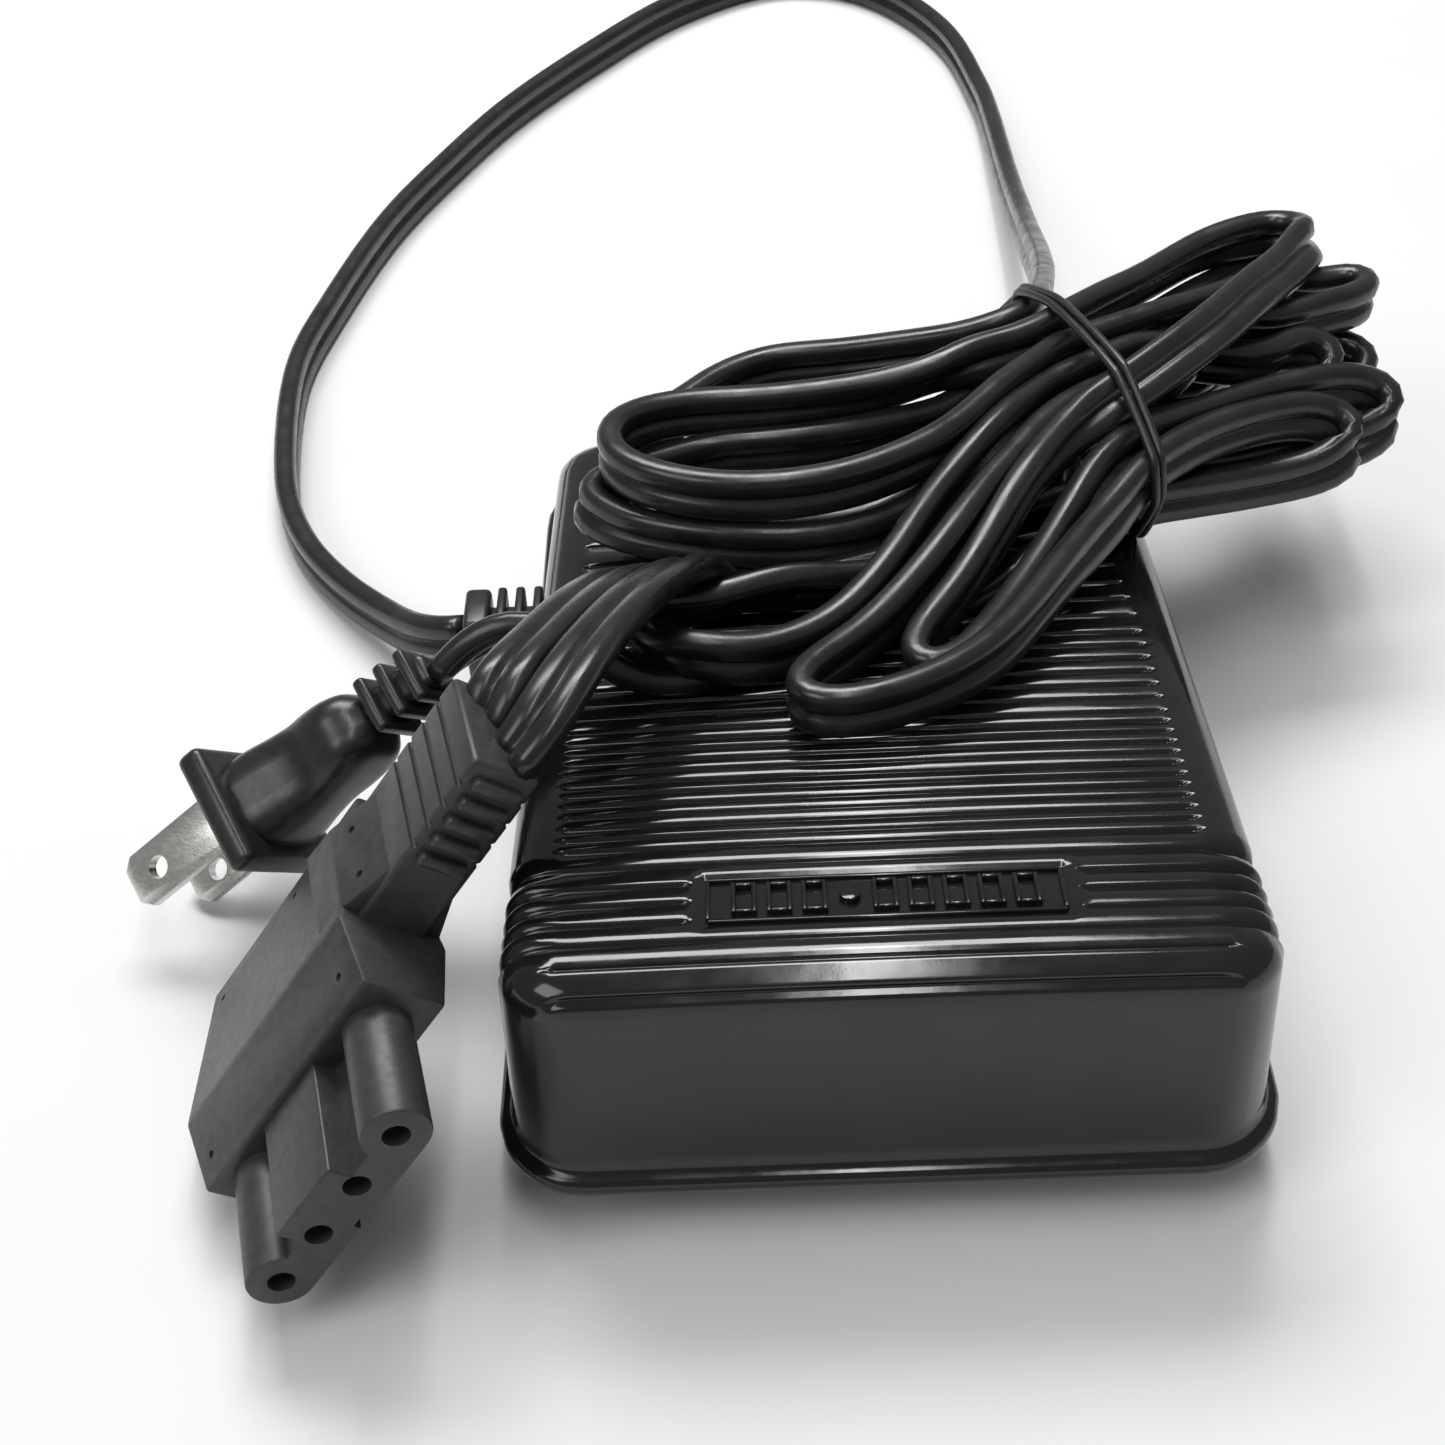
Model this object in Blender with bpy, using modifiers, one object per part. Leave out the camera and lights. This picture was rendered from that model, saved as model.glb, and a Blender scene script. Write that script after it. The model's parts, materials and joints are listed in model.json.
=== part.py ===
"""Sewing machine foot control with its leads.

A treadle cover pivots at the heel of an inset base that holds the speed electronics. The pedal
lead and the mains lead are folded into one hank that lies on the cover, and both end in the
machine connector. Metres, +Z up, +Y from the toe to the heel, origin under the middle of the cover.
"""

import math

import bmesh
import bpy
import numpy as np
from mathutils import Euler, Matrix, Vector

MM = 0.001
GAP = 0.3 * MM

# Treadle cover
COVER_LENGTH = 145 * MM
COVER_WIDTH = 95 * MM
LIP_BOTTOM = 8.5 * MM
LIP_HEIGHT = 2.6 * MM
LIP_PROUD = 1.8 * MM
SIDE_DRAFT = 0.7 * MM
END_DRAFT = 1.6 * MM
WALL = 2.2 * MM
TOE_HEIGHT = 42 * MM
TOP_SLOPE = math.radians(8)
PLAN_CORNER = 9 * MM
TOP_EDGE = 5 * MM
NOTCH_WIDTH = 10.5 * MM
NOTCH_TOP = 21.5 * MM

# Transverse grooves: (pitch, how many) from the toe to the heel
FIRST_GROOVE_Y = -68.2 * MM
GROOVE_GROUPS = (
    (3.56 * MM, 6),
    (3.6 * MM, 1),
    (2.3 * MM, 12),
    (3.25 * MM, 6),
    (4.45 * MM, 3),
    (5.1 * MM, 2),
    (6.3 * MM, 2),
    (7.7 * MM, 2),
)
GROOVE_WIDTH = 0.7 * MM
GROOVE_DEPTH = 0.5 * MM
GROOVE_HALF_LENGTH = 38.4 * MM
LABEL_HALF_WIDTH = 23 * MM
LABEL_GROOVES = (3, 4, 5)

# Treadle hinge and travel
HINGE_Y = 59.5 * MM
HINGE_Z = 11.5 * MM
PIN_RADIUS = 1.5 * MM
PIN_LENGTH = 70 * MM
PIN_CLEARANCE = 0.2 * MM
CLIP_SIZE = (4 * MM, 7 * MM, 8 * MM)
CLIP_X = 32.5 * MM
STOP_Y = -60.9 * MM
STOP_TOP = 31.4 * MM
LUG_X = 27 * MM
LUG_WIDTH = 4 * MM
LUG_LENGTH = 8 * MM

# Base
BASE_HALF_X = 38.5 * MM
BASE_HALF_Y = 66.5 * MM
BASE_CORNER = 7 * MM
PLATE_BOTTOM = 3 * MM
PLATE_THICKNESS = 1.5 * MM
TRAY_BOTTOM = 4.8 * MM
TRAY_FLOOR = 1.8 * MM
TRAY_WALL = 2 * MM
TRAY_TOE_TOP = 26 * MM
TRAY_SLOPE = math.radians(4.6)
FOOT_X = 28 * MM
FOOT_Y = 54 * MM
FOOT_RADIUS = 7 * MM
FOOT_HEIGHT = 2.7 * MM
SCREW_X = 17 * MM
SCREW_Y = 56 * MM
SCREW_HEAD_RADIUS = 2.8 * MM
SCREW_HEAD_HEIGHT = 1.4 * MM
SCREW_RADIUS = 1.3 * MM
SCREW_LENGTH = 5 * MM

# What stands on the board: places in plan and sizes
HEATSINK_PLACE = (14 * MM, 8 * MM)
HEATSINK_SIZE = (24 * MM, 9 * MM, 9 * MM)
HEATSINK_PLATE = 2.5 * MM
FIN_GAP = 2 * MM
FIN_PITCH = 4 * MM
TRIAC_PLACE = (14 * MM, 0.6 * MM)
TRIAC_SIZE = (10 * MM, 4.4 * MM, 9 * MM)
TRIAC_LEG = (0.9 * MM, 0.6 * MM, 1.6 * MM)
TRIAC_LEG_PITCH = 2.5 * MM
CAPACITOR_PLACE = (-9 * MM, 8 * MM)
CAPACITOR_SIZE = (18 * MM, 7 * MM, 8 * MM)
CHOKE_PLACE = (-9 * MM, -9 * MM)
CHOKE_RADIUS = 5.5 * MM
CHOKE_THICKNESS = 5.2 * MM
RESISTOR_PLACES_Y = (-10 * MM, -17 * MM)
RESISTOR_ENDS_X = (9 * MM, 18 * MM)
RESISTOR_RADIUS = 1.5 * MM
TERMINAL_PLACE = (-14.5 * MM, 44.5 * MM, 11.5 * MM)
TERMINAL_SIZE = (14 * MM, 9 * MM, 9 * MM)
TERMINAL_HOLE_RADIUS = 1.6 * MM

# Cord clamp inside the tray
CLAMP_SIZE = (6 * MM, 22 * MM, 3 * MM)
CLAMP_X = -25 * MM
CLAMP_HEIGHT = 8.8 * MM
CLAMP_SCREW_OFFSET = 8.5 * MM
CLAMP_HOLE_RADIUS = 1.5 * MM
CLAMP_SCREW_RADIUS = 1.1 * MM
CLAMP_HEAD_RADIUS = 2.5 * MM
CLAMP_HEAD_HEIGHT = 1.7 * MM
WIRE_RADIUS = 0.9 * MM

# Return springs
SPRING_X = 31.2 * MM
SPRING_Y = -38 * MM
SPRING_RADIUS = 3.2 * MM
SPRING_WIRE_RADIUS = 0.45 * MM
SPRING_TURNS = 6

# Electronics
BOARD_SIZE = (48 * MM, 64 * MM, 1.6 * MM)
BOARD_CENTRE = (0.0, -14 * MM, 9.8 * MM)
POST_RADIUS = 2.2 * MM
POST_INSET = 4 * MM
BOSS_RADIUS = 3.2 * MM
BOSS_HEIGHT = 2 * MM
WIRE_Z = 11 * MM
WIRE_HOLES_X = (-18 * MM, -11 * MM)
POT_X = 0.0
POT_Y = -51 * MM
POT_TOP = 24 * MM
POT_SIZE = (12 * MM, 8 * MM)
POT_SLOT_DEPTH = 14 * MM
SLIDER_STEM = (5 * MM, 3 * MM)
SLIDER_CAP = (8 * MM, 6 * MM)
ACTUATOR_HALF = (4.5 * MM, 3.5 * MM)
SLIDER_TRAVEL = 6.1 * MM
CAP_TOP = 32.4 * MM
POST_GAP = 0.4 * MM

# Leads: a flat twin lead, shown by a round tube of the same section
LEAD_TUBE_RADIUS = 2.7 * MM
TUBE_SPACING = 12 * MM
SHORT_SPACING = 5 * MM
RELIEF_Y = 30 * MM
RELIEF_Z = 12 * MM
RELIEF_OUTER_X = -58 * MM
RELIEF_INNER_X = -33.3 * MM
RELIEF_CORE = (5.8 * MM, 8.4 * MM)
RELIEF_RIB = (9 * MM, 12.4 * MM)
RELIEF_RIB_THICKNESS = 1.4 * MM
RELIEF_RIB_PITCH = 2.75 * MM
RELIEF_RIB_COUNT = 3
RELIEF_END_BLOCK = 4 * MM
RELIEF_FLANGE = (2.4 * MM, 10 * MM, 10 * MM)
RELIEF_HOLE = (8 * MM, 7 * MM, 9.6 * MM)

# The pedal lead, from its strain relief round the big loop to the tie
PEDAL_LEAD_ROUTE_MM = (
    (-59.9, 30, 12),
    (-62, 30.4, 11.4),
    (-65.5, 33.4, 9.6),
    (-71, 40, 7),
    (-81.5, 53, 4.8),
    (-90, 67.5, 4.2),
    (-95, 86, 4.2),
    (-97.5, 118, 4.2),
    (-93.5, 143, 4.2),
    (-86, 173, 4.2),
    (-76, 198, 4.2),
    (-64, 223, 4.2),
    (-47, 249, 4.2),
    (-29, 272, 4.2),
    (-8, 287, 4.2),
    (9, 286, 4.2),
    (23.5, 273, 4.2),
    (34.5, 250, 4.2),
    (39, 217, 4.6),
    (39.5, 175, 7),
    (38.5, 135, 18),
    (36, 104, 31),
    (35.5, 88, 36.5),
    (34.5, 72.5, 38.5),
)
# The mains lead, from the plug over the cover's edge into the hank
MAINS_LEAD_ROUTE_MM = (
    (-55.4, -8.4, 38.1),
    (-50.5, -7.5, 42),
    (-45, -7, 44.5),
    (-39.6, -8, 44),
    (-35.6, -9.6, 42.4),
)
# The two leads side by side, from the hank down into the connector
CONNECTOR_LEADS_ROUTE_MM = (
    (-43.0, -40.0, 56.0),
    (-40, -38.4, 59),
    (-36, -34.5, 61.4),
    (-31.5, -27, 62),
    (-28.6, -18, 59.4),
    (-27.2, -10, 55),
    (-26.6, -4, 50.8),
)
CONNECTOR_LEADS_ACROSS = ((0.235, -0.972, 0.03), (0.97, -0.15, 0.1))
LEAD_PITCH = 5.9 * MM

# The hank: its outline in plan; its underside follows the cover's slope and its top is level
HANK_CLEARANCE = 2.3 * MM
HANK_TOP = 47.5 * MM
HANK_OUTLINE_MM = (
    (-36, 30),
    (-33, 45),
    (-26, 57),
    (-14, 66),
    (2, 67),
    (20, 64.5),
    (34, 66),
    (48, 76),
    (60, 86),
    (72, 88),
    (80, 80),
    (85, 67),
    (80, 52),
    (76, 38),
    (68, 30),
    (54, 29),
    (46, 28),
    (39, 22.5),
    (31.5, 9),
    (24, -5),
    (14, -19),
    (0, -27),
    (-10, -26),
    (-15, -17),
    (-26, -15),
    (-33, -8),
    (-34, 10),
)

# The tie round the hank
TIE_PLACE_MM = (36, 45)
TIE_HEADING = math.radians(19)
TIE_HALF_WIDTH = 22.5 * MM
TIE_THICKNESS = 1 * MM
TIE_BAND = 2.6 * MM

# Mains plug, in its own frame: X from the blades to the lead, Y from blade to blade
PLUG_PLACE_MM = (-84.2, -13.5, 16.5)
PLUG_TURN_DEG = (-57.8, -37.2, 10.1)
FLANGE_SIZE = (4.1 * MM, 21 * MM, 18.3 * MM)
BLADE_PITCH = 12.7 * MM
BLADE_THICKNESS = 1.5 * MM
BLADE_LENGTH = 16.8 * MM
BLADE_WIDTHS = (7.9 * MM, 6.35 * MM)
BLADE_SEAT = 3 * MM
BLADE_HOLE_X = -11.7 * MM
BLADE_HOLE_RADIUS = 1.6 * MM
BODY_START = 3 * MM
BODY_FRONT_HALF = (8.6 * MM, 7.2 * MM)
BODY_BACK_HALF = (4.6 * MM, 4.2 * MM)
PLUG_BODY_END = 24 * MM
PLUG_RELIEF_END = 36 * MM
PLUG_RELIEF_CORE = (6.6 * MM, 5.2 * MM)
PLUG_RIB = (1.9 * MM, 10 * MM, 8.2 * MM)
PLUG_RIBS_X = (26.6 * MM, 30.2 * MM, 33.8 * MM)

# Machine connector, in its own frame: X along the row of holes, Y out of the holes' face
CONNECTOR_PLACE_MM = (-63.3, -81.8, 20.6)
CONNECTOR_TURN_DEG = (177.4, -51.4, 15.6)
SOCKET_PITCH = 8.7 * MM
SOCKET_RADIUS = 1.65 * MM
SOCKET_DEPTH = 17 * MM
BARREL_RADIUS = 4.15 * MM
BARREL_LENGTH = 16.2 * MM
HEAD_LOW = -18.6 * MM
HEAD_HIGH = 19.4 * MM
HEAD_FRONT_HALF = 5.5 * MM
HEAD_MID_HALF = 7.4 * MM
HEAD_BACK_HALF = 1.6 * MM
HEAD_FRONT_DEPTH = 10.1 * MM
HEAD_BACK_DEPTH = 24.6 * MM
GRIP_END = 45.4 * MM
GRIP_HALF = 4.5 * MM
GRIP_FRONT = -27.1 * MM
GRIP_BACK = -43 * MM
GRIP_GROOVE = (0.9 * MM, 20 * MM, 1.2 * MM)
KEYWAY = (3.4 * MM, 14 * MM, 3 * MM)
KEYWAY_PLACE = (-0.2 * MM, -5.6 * MM)
BLOCK_SPAN_X = (-6.2 * MM, 5.2 * MM)
BLOCK_SPAN_Z = (-4.4 * MM, 1 * MM)
WEB_BOTTOM = -1.4 * MM
BARREL_INTO_HEAD = 3 * MM
CONTACT_FRONT = -3 * MM
CONTACT_BACK = -16.5 * MM
CONTACT_BORE_RADIUS = 0.85 * MM
CONTACT_BORE_END = -13 * MM
GRIP_GROOVES_X = (31.7 * MM, 35 * MM, 38.3 * MM, 41.6 * MM)


def clear_scene():
    for obj in list(bpy.data.objects):
        bpy.data.objects.remove(obj, do_unlink=True)


def make_collection(name):
    collection = bpy.data.collections.new(name)
    bpy.context.scene.collection.children.link(collection)
    return collection


clear_scene()
PARTS = make_collection("sewing_machine_pedal")
CUTTERS = make_collection("cutters")


def make_material(name, colour, roughness, metallic=0.0):
    material = bpy.data.materials.new(name)
    material.use_nodes = True
    shader = material.node_tree.nodes["Principled BSDF"]
    shader.inputs["Base Color"].default_value = (*colour, 1.0)
    shader.inputs["Roughness"].default_value = roughness
    shader.inputs["Metallic"].default_value = metallic
    return material


def top_height(y):
    """Height of the cover's sloping top at this distance from the middle."""
    toe_y = -COVER_LENGTH / 2 + LIP_PROUD
    return TOE_HEIGHT - math.tan(TOP_SLOPE) * (y - toe_y)


def inner_height(y):
    """Height of the cover's sloping underside."""
    return top_height(y) - WALL / math.cos(TOP_SLOPE)


def to_object(name, bm, material=None, collection=None, smooth=True):
    bmesh.ops.recalc_face_normals(bm, faces=bm.faces)
    mesh = bpy.data.meshes.new(name)
    bm.to_mesh(mesh)
    bm.free()
    if smooth:
        mesh.shade_smooth()
        mesh.set_sharp_from_angle(angle=math.radians(35))
    obj = bpy.data.objects.new(name, mesh)
    (collection or PARTS).objects.link(obj)
    if material:
        mesh.materials.append(material)
    return obj


def box(name, size, centre, material=None, bevel=0.0, segments=2):
    """A block with its edges rounded by bevel."""
    bm = bmesh.new()
    bmesh.ops.create_cube(bm, size=1.0, matrix=Matrix.Translation(centre) @ Matrix.Diagonal((*size, 1)))
    if bevel:
        bmesh.ops.bevel(bm, geom=bm.edges[:], offset=bevel, segments=segments, profile=0.5, affect="EDGES")
    return to_object(name, bm, material)


def cylinder(name, radius, low, high, material=None, sides=20, radius_high=None):
    """A round bar between two points; radius_high makes it a cone frustum."""
    low = Vector(low)
    along = Vector(high) - low
    turn = Vector((0, 0, 1)).rotation_difference(along).to_matrix().to_4x4()
    bm = bmesh.new()
    bmesh.ops.create_cone(
        bm,
        cap_ends=True,
        segments=sides,
        radius1=radius,
        radius2=radius if radius_high is None else radius_high,
        depth=along.length,
        matrix=Matrix.Translation(low + along / 2) @ turn,
    )
    return to_object(name, bm, material)


def is_upright(edge):
    run = edge.verts[1].co - edge.verts[0].co
    return abs(run.z) > max(abs(run.x), abs(run.y))


def wedge(name, half_low, half_high, bottom, top_at, corner, edge=0.0, material=None, both_edges=False):
    """A block in plan, with rounded vertical corners and a top that follows top_at(y)."""
    bm = bmesh.new()
    bmesh.ops.create_cube(bm, size=2.0)
    for vert in bm.verts:
        half = half_high if vert.co.z > 0 else half_low
        y = math.copysign(half[1], vert.co.y)
        z = top_at(y) if vert.co.z > 0 else bottom
        vert.co = (math.copysign(half[0], vert.co.x), y, z)
    upright = [e for e in bm.edges if is_upright(e)]
    if corner:
        bmesh.ops.bevel(bm, geom=upright, offset=corner, segments=6, profile=0.5, affect="EDGES")
    if edge:
        top = max(bm.faces, key=lambda f: f.normal.z * f.calc_area())
        rims = [top]
        if both_edges:
            rims.append(min(bm.faces, key=lambda f: f.normal.z * f.calc_area()))
        geom = list({e for face in rims for e in face.edges})
        bmesh.ops.bevel(bm, geom=geom, offset=edge, segments=4, profile=0.5, affect="EDGES")
    return to_object(name, bm, material)


def extrude_outline(name, outline, half_depth, material=None):
    """A closed flat outline in XY, made solid to both sides of Z = 0, as a mesh."""
    curve = bpy.data.curves.new(name, "CURVE")
    curve.dimensions = "2D"
    curve.fill_mode = "BOTH"
    curve.extrude = half_depth
    for points in outline:
        spline = curve.splines.new("POLY")
        spline.points.add(len(points) - 1)
        for point, (x, y) in zip(spline.points, points):
            point.co = (x, y, 0, 1)
        spline.use_cyclic_u = True
    helper = bpy.data.objects.new(name, curve)
    PARTS.objects.link(helper)
    return meshed(helper, material)


def meshed(helper, material):
    """The curve object as a mesh object with its caps welded, in its place."""
    name = helper.name
    bpy.context.view_layer.update()
    graph = bpy.context.evaluated_depsgraph_get()
    mesh = bpy.data.meshes.new_from_object(helper.evaluated_get(graph))
    bm = bmesh.new()
    bm.from_mesh(mesh)
    bmesh.ops.remove_doubles(bm, verts=bm.verts, dist=0.001 * MM)
    place = helper.matrix_world.copy()
    bpy.data.objects.remove(helper, do_unlink=True)
    bpy.data.meshes.remove(mesh)
    obj = to_object(name, bm, material)
    obj.matrix_world = place
    return obj


def combine(target, tool, operation):
    """Adds a Boolean with the tool, which becomes a hidden cutter."""
    for collection in list(tool.users_collection):
        collection.objects.unlink(tool)
    CUTTERS.objects.link(tool)
    tool.hide_render = True
    tool.display_type = "WIRE"
    modifier = target.modifiers.new(operation.lower(), "BOOLEAN")
    modifier.operation = operation
    modifier.solver = "EXACT"
    modifier.object = tool


def cut(target, *tools):
    for tool in tools:
        combine(target, tool, "DIFFERENCE")


def add(target, *tools):
    for tool in tools:
        combine(target, tool, "UNION")


def place(obj, position, turn_deg=(0, 0, 0)):
    """Moves an object, and every cutter of its Booleans, to its pose."""
    pose = Matrix.Translation(position) @ Euler([math.radians(a) for a in turn_deg]).to_matrix().to_4x4()
    for modifier in obj.modifiers:
        if modifier.type == "BOOLEAN":
            modifier.object.matrix_world = pose @ modifier.object.matrix_world
    obj.matrix_world = pose @ obj.matrix_world


def spline_point(a, b, c, d, t):
    """A point between b and c on the smooth curve through a, b, c and d."""
    return 0.5 * (2 * b + (c - a) * t + (2 * a - 5 * b + 4 * c - d) * t**2 + (3 * b - a - 3 * c + d) * t**3)


def smooth_route(points, spacing):
    """Points along one smooth curve through the given ones, about spacing apart."""
    points = [np.array(p, float) for p in points]
    padded = [2 * points[0] - points[1], *points, 2 * points[-1] - points[-2]]
    dense = []
    for corners in zip(padded, padded[1:], padded[2:], padded[3:]):
        dense.extend(spline_point(*corners, t) for t in np.linspace(0, 1, 24, endpoint=False))
    dense.append(points[-1])
    dense = np.array(dense)
    reach = np.concatenate([[0], np.cumsum(np.linalg.norm(np.diff(dense, axis=0), axis=1))])
    count = max(3, round(reach[-1] / spacing) + 1)
    at = np.linspace(0, reach[-1], count)
    return [tuple(np.interp(s, reach, dense[:, k]) for k in range(3)) for s in at]


def tube(name, points, radius, material, resolution=2):
    curve = bpy.data.curves.new(name, "CURVE")
    curve.dimensions = "3D"
    curve.bevel_depth = radius
    curve.bevel_resolution = resolution
    curve.use_fill_caps = True
    spline = curve.splines.new("POLY")
    spline.points.add(len(points) - 1)
    for point, position in zip(spline.points, points):
        point.co = (*position, 1)
    curve.materials.append(material)
    obj = bpy.data.objects.new(name, curve)
    PARTS.objects.link(obj)
    return obj


def turned(name, profile, centre, material, steps=24):
    """A profile of (radius, height) points, down its outer side, turned about Z."""
    mesh = bpy.data.meshes.new(name)
    mesh.from_pydata([(r, 0, z) for r, z in profile], [(i, i + 1) for i in range(len(profile) - 1)], [])
    mesh.materials.append(material)
    obj = bpy.data.objects.new(name, mesh)
    PARTS.objects.link(obj)
    obj.location = centre
    screw = obj.modifiers.new("turn", "SCREW")
    screw.steps = steps
    screw.render_steps = steps
    screw.use_merge_vertices = True
    screw.merge_threshold = 0.00001
    screw.use_smooth_shade = True
    return obj


def empty(name, position):
    obj = bpy.data.objects.new(name, None)
    obj.location = position
    PARTS.objects.link(obj)
    bpy.context.view_layer.update()
    return obj


def hang_on(obj, parent):
    """Parents the object to an empty on its joint's axis, where it stands."""
    bpy.context.view_layer.update()
    world = obj.matrix_world.copy()
    obj.parent = parent
    obj.matrix_parent_inverse = parent.matrix_world.inverted()
    obj.matrix_world = world


GLOSS_BLACK = make_material("gloss_black_plastic", (0.012, 0.012, 0.013), 0.12)
BASE_BLACK = make_material("base_plastic", (0.02, 0.02, 0.021), 0.45)
LEAD_BLACK = make_material("lead_pvc", (0.015, 0.015, 0.016), 0.32)
PLUG_BLACK = make_material("plug_pvc", (0.02, 0.02, 0.021), 0.38)
CONNECTOR_BLACK = make_material("connector_plastic", (0.03, 0.03, 0.031), 0.5)
RUBBER = make_material("rubber", (0.03, 0.03, 0.03), 0.8)
STEEL = make_material("steel", (0.55, 0.55, 0.56), 0.3, 1.0)
NICKEL = make_material("nickel", (0.72, 0.71, 0.68), 0.25, 1.0)
BRASS = make_material("brass", (0.72, 0.55, 0.25), 0.3, 1.0)
ALUMINIUM = make_material("aluminium", (0.7, 0.7, 0.72), 0.35, 1.0)
COPPER = make_material("copper", (0.75, 0.38, 0.22), 0.3, 1.0)
BOARD_TAN = make_material("board", (0.32, 0.2, 0.08), 0.5)
FILM_RED = make_material("capacitor_film", (0.35, 0.05, 0.03), 0.4)
EPOXY = make_material("epoxy", (0.02, 0.02, 0.02), 0.4)
NYLON = make_material("nylon", (0.6, 0.58, 0.5), 0.45)


def groove_positions():
    """Distance of each groove from the middle, from the toe to the heel."""
    y = FIRST_GROOVE_Y
    found = [y]
    for pitch, count in GROOVE_GROUPS:
        for _ in range(count):
            y += pitch
            found.append(y)
    return found


def groove_cutter():
    """Thin bars along the cover's sloping top; those beside the label leave it free."""
    bm = bmesh.new()
    for index, y in enumerate(groove_positions()):
        spans = [(-GROOVE_HALF_LENGTH, GROOVE_HALF_LENGTH)]
        if index in LABEL_GROOVES:
            spans = [(-GROOVE_HALF_LENGTH, -LABEL_HALF_WIDTH), (LABEL_HALF_WIDTH, GROOVE_HALF_LENGTH)]
        for low, high in spans:
            centre = Vector(((low + high) / 2, y, top_height(y)))
            size = Vector((high - low, GROOVE_WIDTH, 2 * GROOVE_DEPTH))
            turn = Matrix.Rotation(-TOP_SLOPE, 4, "X")
            bmesh.ops.create_cube(
                bm, size=1.0, matrix=Matrix.Translation(centre) @ turn @ Matrix.Diagonal((*size, 1))
            )
    return to_object("groove_cutter", bm)


def build_cover(axis):
    half_x = COVER_WIDTH / 2
    half_y = COVER_LENGTH / 2
    body_low = (half_x - LIP_PROUD, half_y - LIP_PROUD)
    body_high = (body_low[0] - SIDE_DRAFT, body_low[1] - END_DRAFT)
    cover = wedge(
        "treadle_cover", body_low, body_high, LIP_BOTTOM, top_height, PLAN_CORNER, TOP_EDGE, GLOSS_BLACK
    )
    lip_top = LIP_BOTTOM + LIP_HEIGHT
    lip = wedge(
        "lip",
        (half_x, half_y),
        (half_x, half_y),
        LIP_BOTTOM,
        lambda y: lip_top,
        PLAN_CORNER + LIP_PROUD,
        0.9 * MM,
        both_edges=True,
    )
    hollow = wedge(
        "cover_hollow",
        (body_low[0] - WALL, body_low[1] - WALL),
        (body_high[0] - WALL, body_high[1] - WALL),
        LIP_BOTTOM - 2 * MM,
        inner_height,
        PLAN_CORNER - WALL,
        TOP_EDGE - WALL,
    )
    notch = box(
        "relief_notch",
        (10 * MM, NOTCH_WIDTH, NOTCH_TOP),
        (-half_x, RELIEF_Y, NOTCH_TOP / 2),
    )
    label = box(
        "label_recess",
        (2 * LABEL_HALF_WIDTH - 3 * MM, 8.6 * MM, 0.8 * MM),
        (0, 0, 0),
    )
    label_y = groove_positions()[LABEL_GROOVES[1]]
    place(label, (0, label_y, top_height(label_y)), (-math.degrees(TOP_SLOPE), 0, 0))
    add(cover, lip)
    cut(cover, hollow)
    for side in (-1, 1):
        lug_low = HINGE_Z - PIN_RADIUS - 2 * MM
        lug_high = top_height(HINGE_Y) - WALL / 2
        lug = box(
            f"lug_{side}",
            (LUG_WIDTH, LUG_LENGTH, lug_high - lug_low),
            (side * LUG_X, HINGE_Y, (lug_low + lug_high) / 2),
        )
        add(cover, lug)
    bore = cylinder(
        "lug_bore",
        PIN_RADIUS + PIN_CLEARANCE,
        (-LUG_X - LUG_WIDTH, HINGE_Y, HINGE_Z),
        (LUG_X + LUG_WIDTH, HINGE_Y, HINGE_Z),
        sides=24,
    )
    cut(cover, bore, notch, groove_cutter(), label)
    hang_on(cover, axis)


def build_hinge():
    """The hinge pin and the two clips that hold it in the tray."""
    ends = PIN_LENGTH / 2
    cylinder("hinge_pin", PIN_RADIUS, (-ends, HINGE_Y, HINGE_Z), (ends, HINGE_Y, HINGE_Z), STEEL, 24)
    clip_z = TRAY_BOTTOM + TRAY_FLOOR + GAP + CLIP_SIZE[2] / 2
    for side, name in ((-1, "hinge_clip_left"), (1, "hinge_clip_right")):
        x = side * CLIP_X
        clip = box(name, CLIP_SIZE, (x, HINGE_Y - 0.5 * MM, clip_z), NYLON, 0.6 * MM)
        low, high = (x - 5 * MM, HINGE_Y, HINGE_Z), (x + 5 * MM, HINGE_Y, HINGE_Z)
        cut(clip, cylinder("clip_bore", PIN_RADIUS + PIN_CLEARANCE, low, high, sides=24))


def tray_top(y):
    return TRAY_TOE_TOP - math.tan(TRAY_SLOPE) * (y + BASE_HALF_Y)


def screw_places():
    return [(sx * SCREW_X, sy * SCREW_Y) for sy in (-1, 1) for sx in (-1, 1)]


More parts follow.
